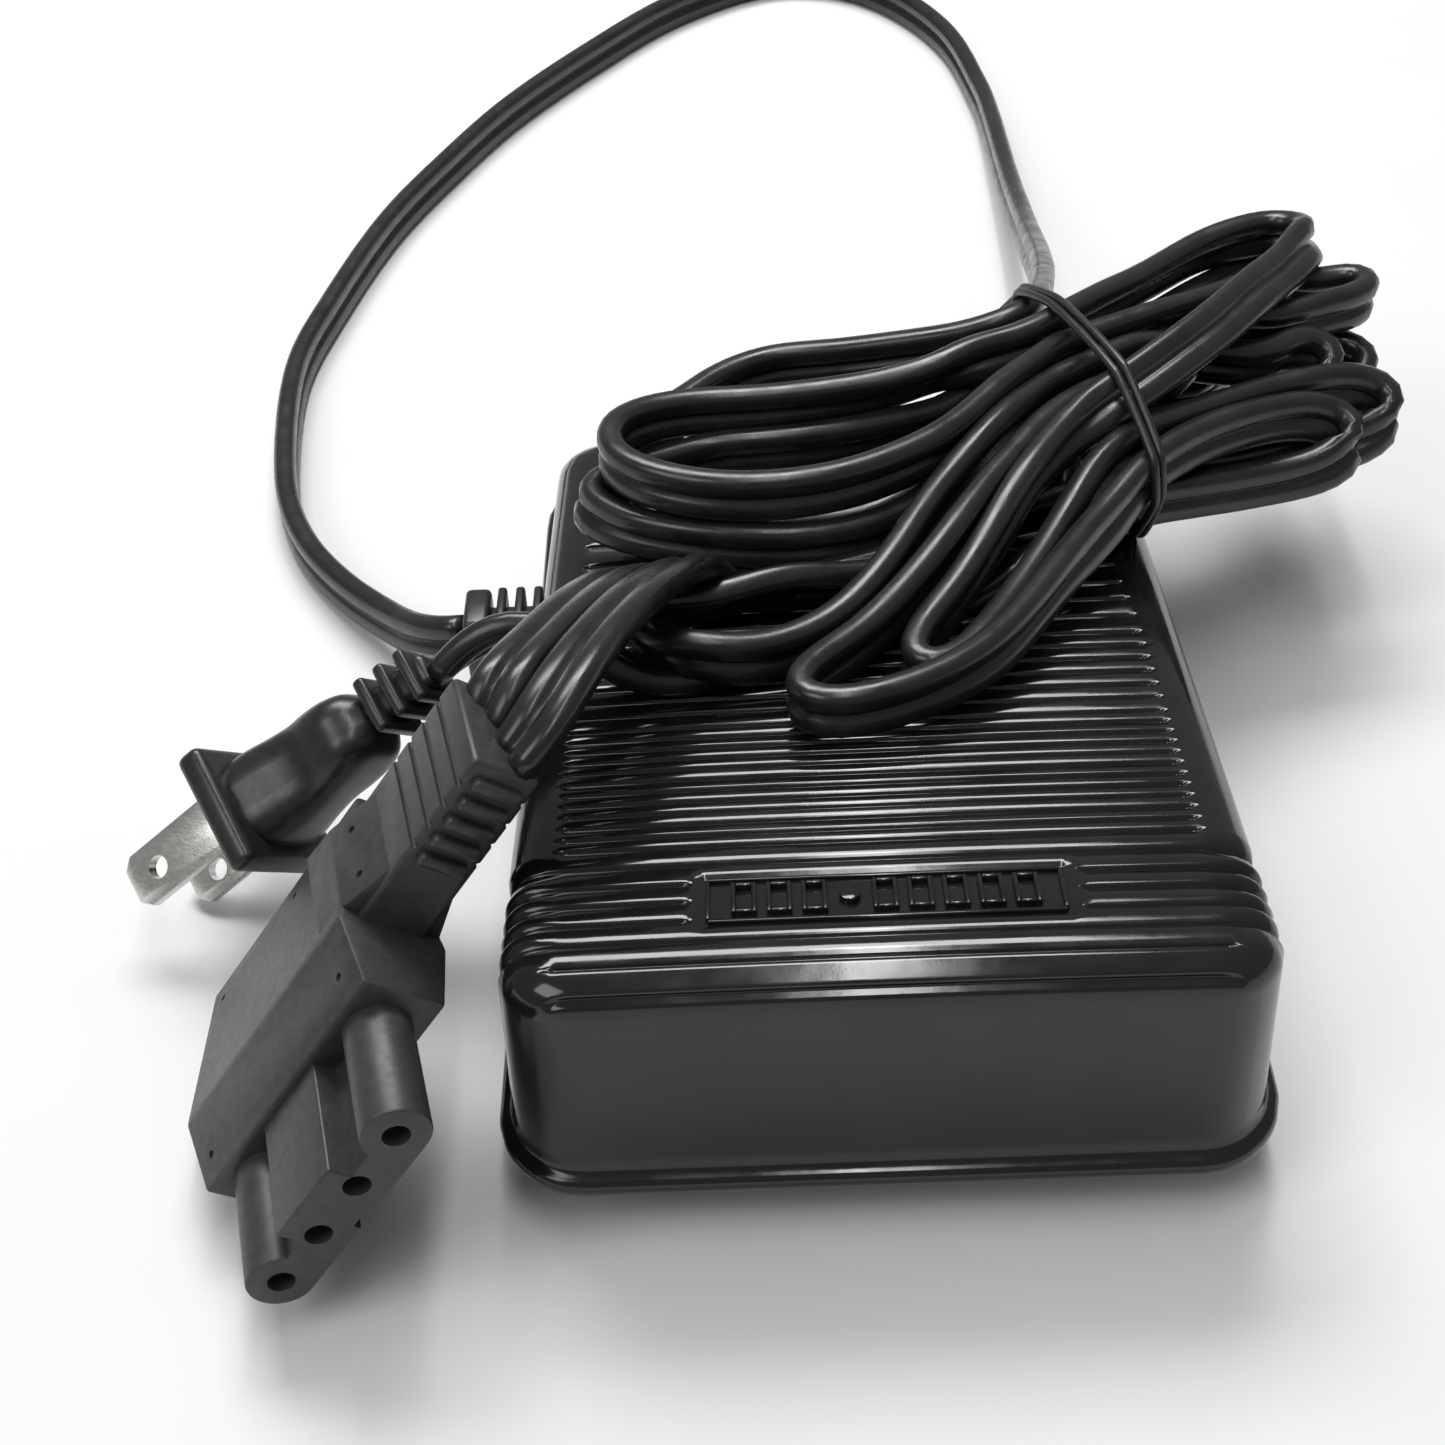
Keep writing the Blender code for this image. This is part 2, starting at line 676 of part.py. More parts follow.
def build_base():
    """The tray with its posts and bosses, and the steel plate under it."""
    half = (BASE_HALF_X, BASE_HALF_Y)
    tray = wedge("base_tray", half, half, TRAY_BOTTOM, tray_top, BASE_CORNER, 0.0, BASE_BLACK)
    inner = (BASE_HALF_X - TRAY_WALL, BASE_HALF_Y - TRAY_WALL)
    floor = TRAY_BOTTOM + TRAY_FLOOR
    above_tray = lambda y: TRAY_TOE_TOP + 5 * MM
    cut(tray, wedge("tray_hollow", inner, inner, floor, above_tray, BASE_CORNER - TRAY_WALL))
    root = floor - 1 * MM
    post_top = BOARD_CENTRE[2] - BOARD_SIZE[2] / 2 - GAP
    posts = []
    for sx in (-1, 1):
        for sy in (-1, 1):
            x = BOARD_CENTRE[0] + sx * (BOARD_SIZE[0] / 2 - POST_INSET)
            y = BOARD_CENTRE[1] + sy * (BOARD_SIZE[1] / 2 - POST_INSET)
            posts.append(cylinder("board_post", POST_RADIUS, (x, y, root), (x, y, post_top), sides=12))
    for x, y in screw_places():
        top = floor + BOSS_HEIGHT
        posts.append(cylinder("screw_boss", BOSS_RADIUS, (x, y, root), (x, y, top), sides=16))
    add(tray, *posts)
    plate_top = lambda y: PLATE_BOTTOM + PLATE_THICKNESS
    plate = wedge("bottom_plate", half, half, PLATE_BOTTOM, plate_top, BASE_CORNER, 0.0, STEEL)
    for x, y in screw_places():
        for target, low, high in (
            (plate, 0.0, TRAY_BOTTOM - 0.1 * MM),
            (tray, 0.0, floor + 5 * MM),
        ):
            cut(target, cylinder("screw_hole", SCREW_RADIUS + GAP, (x, y, low), (x, y, high), sides=16))
    cut(tray, box("relief_hole", RELIEF_HOLE, (-BASE_HALF_X, RELIEF_Y, RELIEF_Z)))


def build_feet_and_screws():
    profile = (
        (0, FOOT_HEIGHT),
        (FOOT_RADIUS - 1 * MM, FOOT_HEIGHT),
        (FOOT_RADIUS, FOOT_HEIGHT - 0.6 * MM),
        (FOOT_RADIUS - 0.6 * MM, 0.4 * MM),
        (FOOT_RADIUS - 1 * MM, 0),
        (0, 0),
    )
    number = 1
    for sy in (-1, 1):
        for sx in (-1, 1):
            turned(f"rubber_foot_{number}", profile, (sx * FOOT_X, sy * FOOT_Y, 0), RUBBER)
            number += 1
    head_top = PLATE_BOTTOM - GAP
    screw = (
        (0, SCREW_LENGTH),
        (SCREW_RADIUS * 0.7, SCREW_LENGTH),
        (SCREW_RADIUS, SCREW_LENGTH - 0.8 * MM),
        (SCREW_RADIUS, 0),
        (SCREW_HEAD_RADIUS, 0),
        (SCREW_HEAD_RADIUS, -SCREW_HEAD_HEIGHT * 0.5),
        (SCREW_HEAD_RADIUS * 0.6, -SCREW_HEAD_HEIGHT),
        (0, -SCREW_HEAD_HEIGHT),
    )
    for number, (x, y) in enumerate(screw_places(), 1):
        turned(f"base_screw_{number}", screw, (x, y, head_top), STEEL, 16)


def helix(radius, low, high, turns, per_turn):
    count = turns * per_turn + 1
    points = []
    for i in range(count):
        angle = 2 * math.pi * i / per_turn
        z = low + (high - low) * i / (count - 1)
        points.append((radius * math.cos(angle), radius * math.sin(angle), z))
    return points


def build_springs():
    low = TRAY_BOTTOM + TRAY_FLOOR + 1 * MM
    high = top_height(SPRING_Y) - WALL - 2 * MM
    coil = helix(SPRING_RADIUS, low, high, SPRING_TURNS, 12)
    for side, name in ((-1, "return_spring_left"), (1, "return_spring_right")):
        points = [(side * SPRING_X + x, SPRING_Y + y, z) for x, y, z in coil]
        tube(name, points, SPRING_WIRE_RADIUS, STEEL, 1)


def build_stop():
    low = TRAY_BOTTOM + TRAY_FLOOR + GAP
    size = (22 * MM, 5.4 * MM, STOP_TOP - low)
    box("stop_pad", size, (0, STOP_Y, (low + STOP_TOP) / 2), RUBBER, 0.8 * MM)


def build_heatsink(stand):
    x, y = HEATSINK_PLACE
    sink = box("heatsink", HEATSINK_SIZE, (x, y, stand + HEATSINK_SIZE[2] / 2), ALUMINIUM)
    gap_size = (FIN_GAP, 2 * HEATSINK_SIZE[1], HEATSINK_SIZE[2])
    gap_z = stand + HEATSINK_PLATE + gap_size[2] / 2
    gaps = [box("fin_gap", gap_size, (x + (i - 2) * FIN_PITCH - 1 * MM, y, gap_z)) for i in range(5)]
    cut(sink, *gaps)


def build_triac(stand):
    x, y = TRIAC_PLACE
    lift = 0.5 * MM
    triac = box("triac", TRIAC_SIZE, (x, y, stand + lift + TRIAC_SIZE[2] / 2), EPOXY, 0.3 * MM, 1)
    legs = [
        box("leg", TRIAC_LEG, (x + i * TRIAC_LEG_PITCH, y, stand + TRIAC_LEG[2] / 2)) for i in (-1, 0, 1)
    ]
    add(triac, *legs)


def build_choke(stand):
    bpy.ops.mesh.primitive_torus_add(
        major_segments=24,
        minor_segments=10,
        major_radius=CHOKE_RADIUS,
        minor_radius=CHOKE_THICKNESS / 2,
        location=(*CHOKE_PLACE, stand + CHOKE_THICKNESS / 2),
    )
    choke = bpy.context.object
    choke.name = "choke_coil"
    choke.data.materials.append(COPPER)
    for collection in list(choke.users_collection):
        collection.objects.unlink(choke)
    PARTS.objects.link(choke)


def build_terminal():
    terminal = box("terminal_block", TERMINAL_SIZE, TERMINAL_PLACE, NYLON, 0.4 * MM, 1)
    low = TERMINAL_PLACE[1] - TERMINAL_SIZE[1]
    high = TERMINAL_PLACE[1] + TERMINAL_SIZE[1]
    holes = [
        cylinder("terminal_hole", TERMINAL_HOLE_RADIUS, (x, low, WIRE_Z), (x, high, WIRE_Z), sides=12)
        for x in WIRE_HOLES_X
    ]
    cut(terminal, *holes)


def build_electronics():
    stand = BOARD_CENTRE[2] + BOARD_SIZE[2] / 2 + GAP
    box("circuit_board", BOARD_SIZE, BOARD_CENTRE, BOARD_TAN, 0.2 * MM, 1)
    build_heatsink(stand)
    build_triac(stand)
    capacitor_place = (*CAPACITOR_PLACE, stand + CAPACITOR_SIZE[2] / 2)
    box("filter_capacitor", CAPACITOR_SIZE, capacitor_place, FILM_RED, 1 * MM)
    build_choke(stand)
    z = stand + RESISTOR_RADIUS + 0.1 * MM
    left, right = RESISTOR_ENDS_X
    for number, y in enumerate(RESISTOR_PLACES_Y, 1):
        cylinder(f"resistor_{number}", RESISTOR_RADIUS, (left, y, z), (right, y, z), BOARD_TAN, 12)
    build_terminal()


def build_slider(axis):
    """A slide potentiometer that stands at the toe, and its slider, which the cover presses down."""
    low = TRAY_BOTTOM + TRAY_FLOOR + GAP
    body_size = (*POT_SIZE, POT_TOP - low)
    body = box("pot_body", body_size, (POT_X, POT_Y, (low + POT_TOP) / 2), EPOXY, 0.4 * MM, 1)
    slot = box(
        "pot_slot",
        (SLIDER_STEM[0] + 2 * GAP, SLIDER_STEM[1] + 2 * GAP, 2 * POT_SLOT_DEPTH),
        (POT_X, POT_Y, POT_TOP),
    )
    cut(body, slot)
    stem_low = POT_TOP - POT_SLOT_DEPTH + SLIDER_TRAVEL + 1 * MM
    stem_size = (*SLIDER_STEM, CAP_TOP - stem_low)
    slider = box("pot_slider", stem_size, (POT_X, POT_Y, (CAP_TOP + stem_low) / 2), NYLON, 0.3 * MM, 1)
    cap_low = POT_TOP + SLIDER_TRAVEL + 0.4 * MM
    cap = box("slider_cap", (*SLIDER_CAP, CAP_TOP - cap_low), (POT_X, POT_Y, (CAP_TOP + cap_low) / 2))
    add(slider, cap)
    hang_on(slider, axis)


def build_actuator(axis):
    """The post under the cover that presses the slider's cap."""
    low = CAP_TOP + POST_GAP
    top_at = lambda y: inner_height(y + POT_Y) - GAP
    post = wedge("actuator_post", ACTUATOR_HALF, ACTUATOR_HALF, low, top_at, 0.8 * MM, 0.0, NYLON)
    post.location = (POT_X, POT_Y, 0)
    hang_on(post, axis)


def build_relief():
    """The flat strain relief, ribbed outside the cover, on the left side."""
    relief = box(
        "strain_relief",
        (RELIEF_INNER_X - RELIEF_OUTER_X, *RELIEF_CORE),
        ((RELIEF_INNER_X + RELIEF_OUTER_X) / 2, RELIEF_Y, RELIEF_Z),
        PLUG_BLACK,
    )
    end_x = RELIEF_OUTER_X + RELIEF_END_BLOCK / 2
    end_size = (RELIEF_END_BLOCK, *RELIEF_RIB)
    pieces = [box("relief_end", end_size, (end_x, RELIEF_Y, RELIEF_Z), None, 0.4 * MM, 1)]
    first_x = RELIEF_OUTER_X + RELIEF_END_BLOCK + 1.65 * MM
    for index in range(RELIEF_RIB_COUNT):
        x = first_x + index * RELIEF_RIB_PITCH
        size = (RELIEF_RIB_THICKNESS, *RELIEF_RIB)
        pieces.append(box("relief_rib", size, (x, RELIEF_Y, RELIEF_Z), None, 0.4 * MM, 1))
    flange_x = -BASE_HALF_X + TRAY_WALL + GAP + RELIEF_FLANGE[0] / 2
    pieces.append(box("relief_flange", RELIEF_FLANGE, (flange_x, RELIEF_Y, RELIEF_Z)))
    add(relief, *pieces)


def build_clamp():
    floor = TRAY_BOTTOM + TRAY_FLOOR
    clamp_z = floor + CLAMP_HEIGHT
    clamp = box("cord_clamp", CLAMP_SIZE, (CLAMP_X, RELIEF_Y, clamp_z), NYLON, 0.5 * MM)
    head_low = clamp_z + CLAMP_SIZE[2] / 2 + GAP
    head_high = head_low + CLAMP_HEAD_HEIGHT
    profile = (
        (0, head_high),
        (0.65 * CLAMP_HEAD_RADIUS, head_high),
        (CLAMP_HEAD_RADIUS, head_high - 0.8 * MM),
        (CLAMP_HEAD_RADIUS, head_low),
        (CLAMP_SCREW_RADIUS, head_low),
        (CLAMP_SCREW_RADIUS, floor + GAP),
        (0, floor + GAP),
    )
    for number, side in ((1, -1), (2, 1)):
        y = RELIEF_Y + side * CLAMP_SCREW_OFFSET
        low, high = (CLAMP_X, y, floor + 5 * MM), (CLAMP_X, y, floor + 12 * MM)
        cut(clamp, cylinder("clamp_hole", CLAMP_HOLE_RADIUS, low, high, sides=12))
        turned(f"clamp_screw_{number}", profile, (CLAMP_X, y, 0), STEEL, 12)


def build_inner_wires():
    """Two wires from the strain relief, through the clamp, to the terminal block."""
    for number, (side, x) in enumerate(zip((1, -1), WIRE_HOLES_X), 1):
        points = [
            (RELIEF_INNER_X + 0.7 * MM, RELIEF_Y + side * 1.3 * MM, WIRE_Z),
            (CLAMP_X - 1 * MM, RELIEF_Y + side * 1.5 * MM, WIRE_Z),
            (x - 2.5 * MM, RELIEF_Y + side * 2 * MM, WIRE_Z),
            (x, RELIEF_Y + 5.5 * MM, WIRE_Z),
            (x, RELIEF_Y + 13 * MM, WIRE_Z),
        ]
        tube(f"inner_wire_{number}", smooth_route(points, 3 * MM), WIRE_RADIUS, COPPER, 1)


def plug_body():
    """The flange, the tapering body and the ribbed end, as one solid."""
    flange = box("plug_body", FLANGE_SIZE, (FLANGE_SIZE[0] / 2, 0, 0), PLUG_BLACK, 1.2 * MM)
    bm = bmesh.new()
    bmesh.ops.create_cube(bm, size=1.0)
    for vert in bm.verts:
        far = vert.co.x > 0
        half = BODY_BACK_HALF if far else BODY_FRONT_HALF
        x = PLUG_BODY_END if far else BODY_START
        vert.co = (x, math.copysign(half[0], vert.co.y), math.copysign(half[1], vert.co.z))
    bmesh.ops.bevel(bm, geom=bm.edges[:], offset=2 * MM, segments=3, profile=0.5, affect="EDGES")
    taper = to_object("plug_taper", bm)
    core_start = PLUG_BODY_END - 2 * MM
    core = box(
        "plug_core",
        (PLUG_RELIEF_END - core_start, *PLUG_RELIEF_CORE),
        ((PLUG_RELIEF_END + core_start) / 2, 0, 0),
        None,
        1 * MM,
    )
    ribs = [box("plug_rib", PLUG_RIB, (x, 0, 0), None, 0.6 * MM) for x in PLUG_RIBS_X]
    add(flange, taper, core, *ribs)
    return flange


def build_plug():
    """The two-blade mains plug, in its own frame, then laid in place."""
    body = plug_body()
    pieces = [body]
    length = BLADE_LENGTH + BLADE_SEAT - GAP
    blade_x = BLADE_SEAT - GAP - length / 2
    for number, side, width in ((1, -1, BLADE_WIDTHS[0]), (2, 1, BLADE_WIDTHS[1])):
        y = side * BLADE_PITCH / 2
        blade = box(f"plug_blade_{number}", (length, BLADE_THICKNESS, width), (blade_x, y, 0), NICKEL)
        low, high = (BLADE_HOLE_X, y - 2 * MM, 0), (BLADE_HOLE_X, y + 2 * MM, 0)
        cut(blade, cylinder("blade_hole", BLADE_HOLE_RADIUS, low, high, sides=20))
        seat_size = (2 * BLADE_SEAT, BLADE_THICKNESS + 2 * GAP, width + 2 * GAP)
        cut(body, box("blade_seat", seat_size, (0, y, 0)))
        pieces.append(blade)
    position = [v * MM for v in PLUG_PLACE_MM]
    for obj in pieces:
        place(obj, position, PLUG_TURN_DEG)


def head_section():
    """The head's hexagonal section, as (Y, Z) half outline mirrored in Z."""
    front = -BARREL_LENGTH
    mid = front - HEAD_FRONT_DEPTH
    back = mid - HEAD_BACK_DEPTH
    upper = [(front, HEAD_FRONT_HALF), (mid, HEAD_MID_HALF), (back, HEAD_BACK_HALF)]
    return upper + [(y, -z) for y, z in reversed(upper)]


def prism_along_x(name, section, low, high, material=None):
    """A prism of a (Y, Z) section between two X positions."""
    outline = [(z, y) for y, z in section]
    obj = extrude_outline(name, [outline], (high - low) / 2, material)
    turn = Matrix(((0, 0, 1, 0), (0, 1, 0, 0), (-1, 0, 0, 0), (0, 0, 0, 1)))
    obj.data.transform(Matrix.Translation(((low + high) / 2, 0, 0)) @ turn)
    return obj


def connector_pieces_to_add():
    """The grip, and what stands in front of the head: two barrels, the web and the block."""
    depth = BARREL_LENGTH + BARREL_INTO_HEAD
    grip_start = HEAD_HIGH - 6 * MM
    grip = box(
        "grip",
        (GRIP_END - grip_start, GRIP_FRONT - GRIP_BACK, 2 * GRIP_HALF),
        ((GRIP_END + grip_start) / 2, (GRIP_FRONT + GRIP_BACK) / 2, 0),
    )
    outer = socket_places()[::3]
    barrels = [cylinder("barrel", BARREL_RADIUS, (x, -depth, 0), (x, 0, 0), sides=24) for x in outer]
    web = box(
        "web",
        (3 * SOCKET_PITCH, depth, BARREL_RADIUS - WEB_BOTTOM),
        (0, -depth / 2, (BARREL_RADIUS + WEB_BOTTOM) / 2),
    )
    block = box(
        "block",
        (BLOCK_SPAN_X[1] - BLOCK_SPAN_X[0], depth, BLOCK_SPAN_Z[1] - BLOCK_SPAN_Z[0]),
        (sum(BLOCK_SPAN_X) / 2, -depth / 2, sum(BLOCK_SPAN_Z) / 2),
    )
    return [grip, *barrels, web, block]


def socket_places():
    return [(i - 1.5) * SOCKET_PITCH for i in range(4)]


def connector_pieces_to_cut():
    """The four sockets, the keyway over them and the grooves of the grip."""
    tools = [
        cylinder("socket", SOCKET_RADIUS, (x, -SOCKET_DEPTH, 0), (x, 1 * MM, 0), sides=16)
        for x in socket_places()
    ]
    tools.append(box("keyway", KEYWAY, (*KEYWAY_PLACE, BARREL_RADIUS)))
    grip_y = (GRIP_FRONT + GRIP_BACK) / 2
    for x in GRIP_GROOVES_X:
        for side in (-1, 1):
            tools.append(box("grip_groove", GRIP_GROOVE, (x, grip_y, side * GRIP_HALF)))
    return tools


def build_connector():
    """The right-angle four-hole connector, in its own frame, then leant in place."""
    head = prism_along_x("connector_body", head_section(), HEAD_LOW, HEAD_HIGH, CONNECTOR_BLACK)
    add(head, *connector_pieces_to_add())
    cut(head, *connector_pieces_to_cut())
    pieces = [head]
    for number, x in enumerate(socket_places(), 1):
        name = f"socket_contact_{number}"
        low, high = (x, CONTACT_BACK, 0), (x, CONTACT_FRONT, 0)
        contact = cylinder(name, SOCKET_RADIUS - GAP, low, high, BRASS, 12)
        low, high = (x, CONTACT_BORE_END, 0), (x, 0, 0)
        cut(contact, cylinder("contact_bore", CONTACT_BORE_RADIUS, low, high, sides=12))
        pieces.append(contact)
    position = [v * MM for v in CONNECTOR_PLACE_MM]
    for obj in pieces:
        place(obj, position, CONNECTOR_TURN_DEG)


def to_metres(points):
    return [tuple(v * MM for v in point) for point in points]


def build_leads():
    for name, route, spacing in (
        ("pedal_lead", PEDAL_LEAD_ROUTE_MM, TUBE_SPACING),
        ("mains_lead", MAINS_LEAD_ROUTE_MM, SHORT_SPACING),
    ):
        tube(name, smooth_route(to_metres(route), spacing), LEAD_TUBE_RADIUS, LEAD_BLACK)
    route = smooth_route(to_metres(CONNECTOR_LEADS_ROUTE_MM), SHORT_SPACING)
    for number, side in ((1, -0.5), (2, 0.5)):
        tube(f"connector_lead_{number}", beside(route, side * LEAD_PITCH), LEAD_TUBE_RADIUS, LEAD_BLACK)


def beside(route, distance):
    """The route moved sideways, square to its own direction."""
    first, last = (Vector(v) for v in CONNECTOR_LEADS_ACROSS)
    found = []
    for i, point in enumerate(route):
        before = Vector(route[max(i - 1, 0)])
        after = Vector(route[min(i + 1, len(route) - 1)])
        along = (after - before).normalized()
        across = first.lerp(last, i / (len(route) - 1))
        across = (across - across.dot(along) * along).normalized()
        found.append(Vector(point) + distance * across)
    return found


def rounded_outline(points, steps):
    """A closed smooth outline through the given points."""
    points = [np.array(p, float) for p in points]
    count = len(points)
    found = []
    for i in range(count):
        corners = [points[(i + k - 1) % count] for k in range(4)]
        found.extend(spline_point(*corners, t) for t in np.linspace(0, 1, steps, endpoint=False))
    return found


def build_hank():
    outline = rounded_outline([(x * MM, y * MM) for x, y in HANK_OUTLINE_MM], 3)
    half_depth = 20 * MM
    hank = extrude_outline("cord_hank", [outline], half_depth, LEAD_BLACK)
    hank.matrix_world = Matrix.Translation((0, 0, HANK_TOP - half_depth))
    cut(hank, below_slope("under_hank", HANK_CLEARANCE))


def below_slope(name, clearance):
    """Everything from the table up to this far above the cover's sloping top."""
    half = (150 * MM, 150 * MM)
    return wedge(name, half, half, 0.0, lambda y: top_height(y) + clearance, 0.0)


def build_tie():
    """A band round the hank: level over its top, and sloping under it."""
    across = math.cos(TIE_HEADING)
    rings = []
    for grow in (TIE_THICKNESS, 0):
        half = TIE_HALF_WIDTH + grow
        upper = HANK_TOP + GAP + grow
        lower = [
            top_height(TIE_PLACE_MM[1] * MM + side * half * across) + HANK_CLEARANCE - GAP - grow
            for side in (-1, 1)
        ]
        rings.append([(-half, lower[0]), (half, lower[1]), (half, upper), (-half, upper)])
    tie = extrude_outline("twist_tie", rings, TIE_BAND / 2, EPOXY)
    upright = Matrix.Rotation(math.radians(90), 4, "X")
    heading = Matrix.Rotation(TIE_HEADING + math.radians(90), 4, "Z")
    x, y = (v * MM for v in TIE_PLACE_MM)
    tie.matrix_world = Matrix.Translation((x, y, 0)) @ heading @ upright


def build_all():
    treadle_axis = empty("treadle_axis", (0, HINGE_Y, HINGE_Z))
    build_cover(treadle_axis)
    build_hinge()
    build_base()
    build_feet_and_screws()
    build_springs()
    build_stop()
    build_electronics()
    slider_axis = empty("slider_axis", (POT_X, POT_Y, HINGE_Z))
    build_slider(slider_axis)
    build_actuator(treadle_axis)
    build_relief()
    build_clamp()
    build_inner_wires()
    build_plug()
    build_connector()
    build_leads()
    build_hank()
    build_tie()


build_all()
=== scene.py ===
"""Looks of a sewing machine foot control: glossy ribbed cover, plug, machine connector and folded leads."""

import json
import math

import bmesh
import bpy
import numpy as np
from mathutils import Euler, Matrix, Vector


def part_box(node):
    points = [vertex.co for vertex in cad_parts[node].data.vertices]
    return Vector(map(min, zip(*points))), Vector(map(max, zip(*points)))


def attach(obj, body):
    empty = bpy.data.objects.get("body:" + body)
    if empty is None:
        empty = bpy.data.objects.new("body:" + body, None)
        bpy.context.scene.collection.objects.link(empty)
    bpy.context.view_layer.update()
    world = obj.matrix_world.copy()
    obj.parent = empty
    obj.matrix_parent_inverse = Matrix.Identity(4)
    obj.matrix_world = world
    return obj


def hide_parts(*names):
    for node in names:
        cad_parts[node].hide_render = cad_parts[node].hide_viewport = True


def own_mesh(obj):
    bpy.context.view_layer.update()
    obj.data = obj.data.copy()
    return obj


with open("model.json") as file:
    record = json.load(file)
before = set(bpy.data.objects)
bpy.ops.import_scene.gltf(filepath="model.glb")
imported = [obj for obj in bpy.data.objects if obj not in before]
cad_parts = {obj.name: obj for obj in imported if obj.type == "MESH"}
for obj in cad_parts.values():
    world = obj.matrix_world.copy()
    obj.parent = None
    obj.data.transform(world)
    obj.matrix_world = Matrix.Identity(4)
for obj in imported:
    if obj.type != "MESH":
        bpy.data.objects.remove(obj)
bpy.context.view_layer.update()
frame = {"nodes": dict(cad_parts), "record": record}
MM = 0.001

# -------- meshes


def new_object(name, bm, smooth_angle=40):
    """The bmesh as a smooth-shaded object; edges sharper than the angle stay sharp."""
    bmesh.ops.recalc_face_normals(bm, faces=bm.faces)
    mesh = bpy.data.meshes.new(name)
    bm.to_mesh(mesh)
    bm.free()
    mesh.shade_smooth()
    if smooth_angle is not None:
        mesh.set_sharp_from_angle(angle=math.radians(smooth_angle))
    obj = bpy.data.objects.new(name, mesh)
    bpy.context.scene.collection.objects.link(obj)
    return obj


def join_rings(bm, low, high):
    """The band of faces between two rings with the same number of points."""
    for i in range(len(low)):
        j = (i + 1) % len(low)
        bm.faces.new((low[i], low[j], high[j], high[i]))


def skin_over(bm, rings):
    """Faces over a row of rings and over its two ends."""
    for low, high in zip(rings, rings[1:]):
        join_rings(bm, low, high)
    bm.faces.new(rings[0][::-1])
    bm.faces.new(rings[-1])


# -------- camera

CAMERA_PLACE = (-13.1, -231.0, 224.0)
CAMERA_AZIMUTH, CAMERA_DOWN, CAMERA_ROLL = (math.radians(a) for a in (1.487, 41.558, -3.221))
CAMERA_LENS = 54.81


def add_camera():
    """The camera at the photograph's viewing angle."""
    az, down, roll = CAMERA_AZIMUTH, CAMERA_DOWN, CAMERA_ROLL
    forward = Vector((-math.sin(az) * math.cos(down), math.cos(az) * math.cos(down), -math.sin(down)))
    level = Vector((math.cos(az), math.sin(az), 0))
    above = level.cross(forward)
    right = math.cos(roll) * level + math.sin(roll) * above
    up = math.cos(roll) * above - math.sin(roll) * level
    data = bpy.data.cameras.new("camera")
    data.lens = CAMERA_LENS
    data.sensor_width = 36
    data.clip_start = 0.01
    camera = bpy.data.objects.new("camera", data)
    place = Matrix((right, up, -forward)).transposed().to_4x4()
    place.translation = Vector(CAMERA_PLACE) * MM
    camera.matrix_world = place
    bpy.context.scene.collection.objects.link(camera)
    bpy.context.scene.camera = camera


add_camera()

# -------- cords

# The flat twin cord: its width, the radius of each core, and the distance between the points along it
CORE = 1.9
STEP = 2.0

# A core's outline: how flat its sides are (1 is round), and the angles of its points in degrees
CORE_FLATNESS = 0.8
CORE_POINTS, CORE_FIRST, CORE_TURN = 13, -156, 26

# How the cords are pushed apart, with distances in mm and lengths along a cord in points
SETTLE_ROUNDS, QUICK_ROUNDS = 150, 40
SEARCH_EVERY = 6
SEARCH_MARGIN = 2.5
CORD_GAP = 0.1
REST_GAP = 0.15
OWN_REACH = 6
LARGEST_PUSH = 1.5
OVERSHOOT = 1.4
RETURN = 0.995
KERNEL_REACH = 10
KERNEL_WIDTH = 3.2
END_HOLD = 6

# The cover's top: a slope down from the toe, and what of it the cords may lie on
COVER_SLOPE = math.tan(math.radians(8))
COVER_TOE_TOP = 42.0
COVER_TOE_Y = -70.7
COVER_HALF_X = 45.3
COVER_HALF_Y = 70.0


def cover_top(y):
    """Height of the cover's top at its middle line."""
    return COVER_TOE_TOP - COVER_SLOPE * (y - COVER_TOE_Y)


# The bundle's section at the tie: its middle, the way along it, the way across it, and its thickness way
TIE_MIDDLE = np.array((36.0, 44.0, 39.5))
TIE_ALONG = np.array((0.9455, 0.3256, 0.0))
TIE_ACROSS = np.array((-0.3196, 0.9281, 0.1908))
TIE_THICK = np.cross(TIE_ALONG, TIE_ACROSS)


def in_tie(across, layer):
    """A cord's place where it passes through the tie."""
    return tuple(TIE_MIDDLE + across * TIE_ACROSS + layer * TIE_THICK)


# The two layers of cords in the tie
UPPER, LOWER = 4.2, -4.0

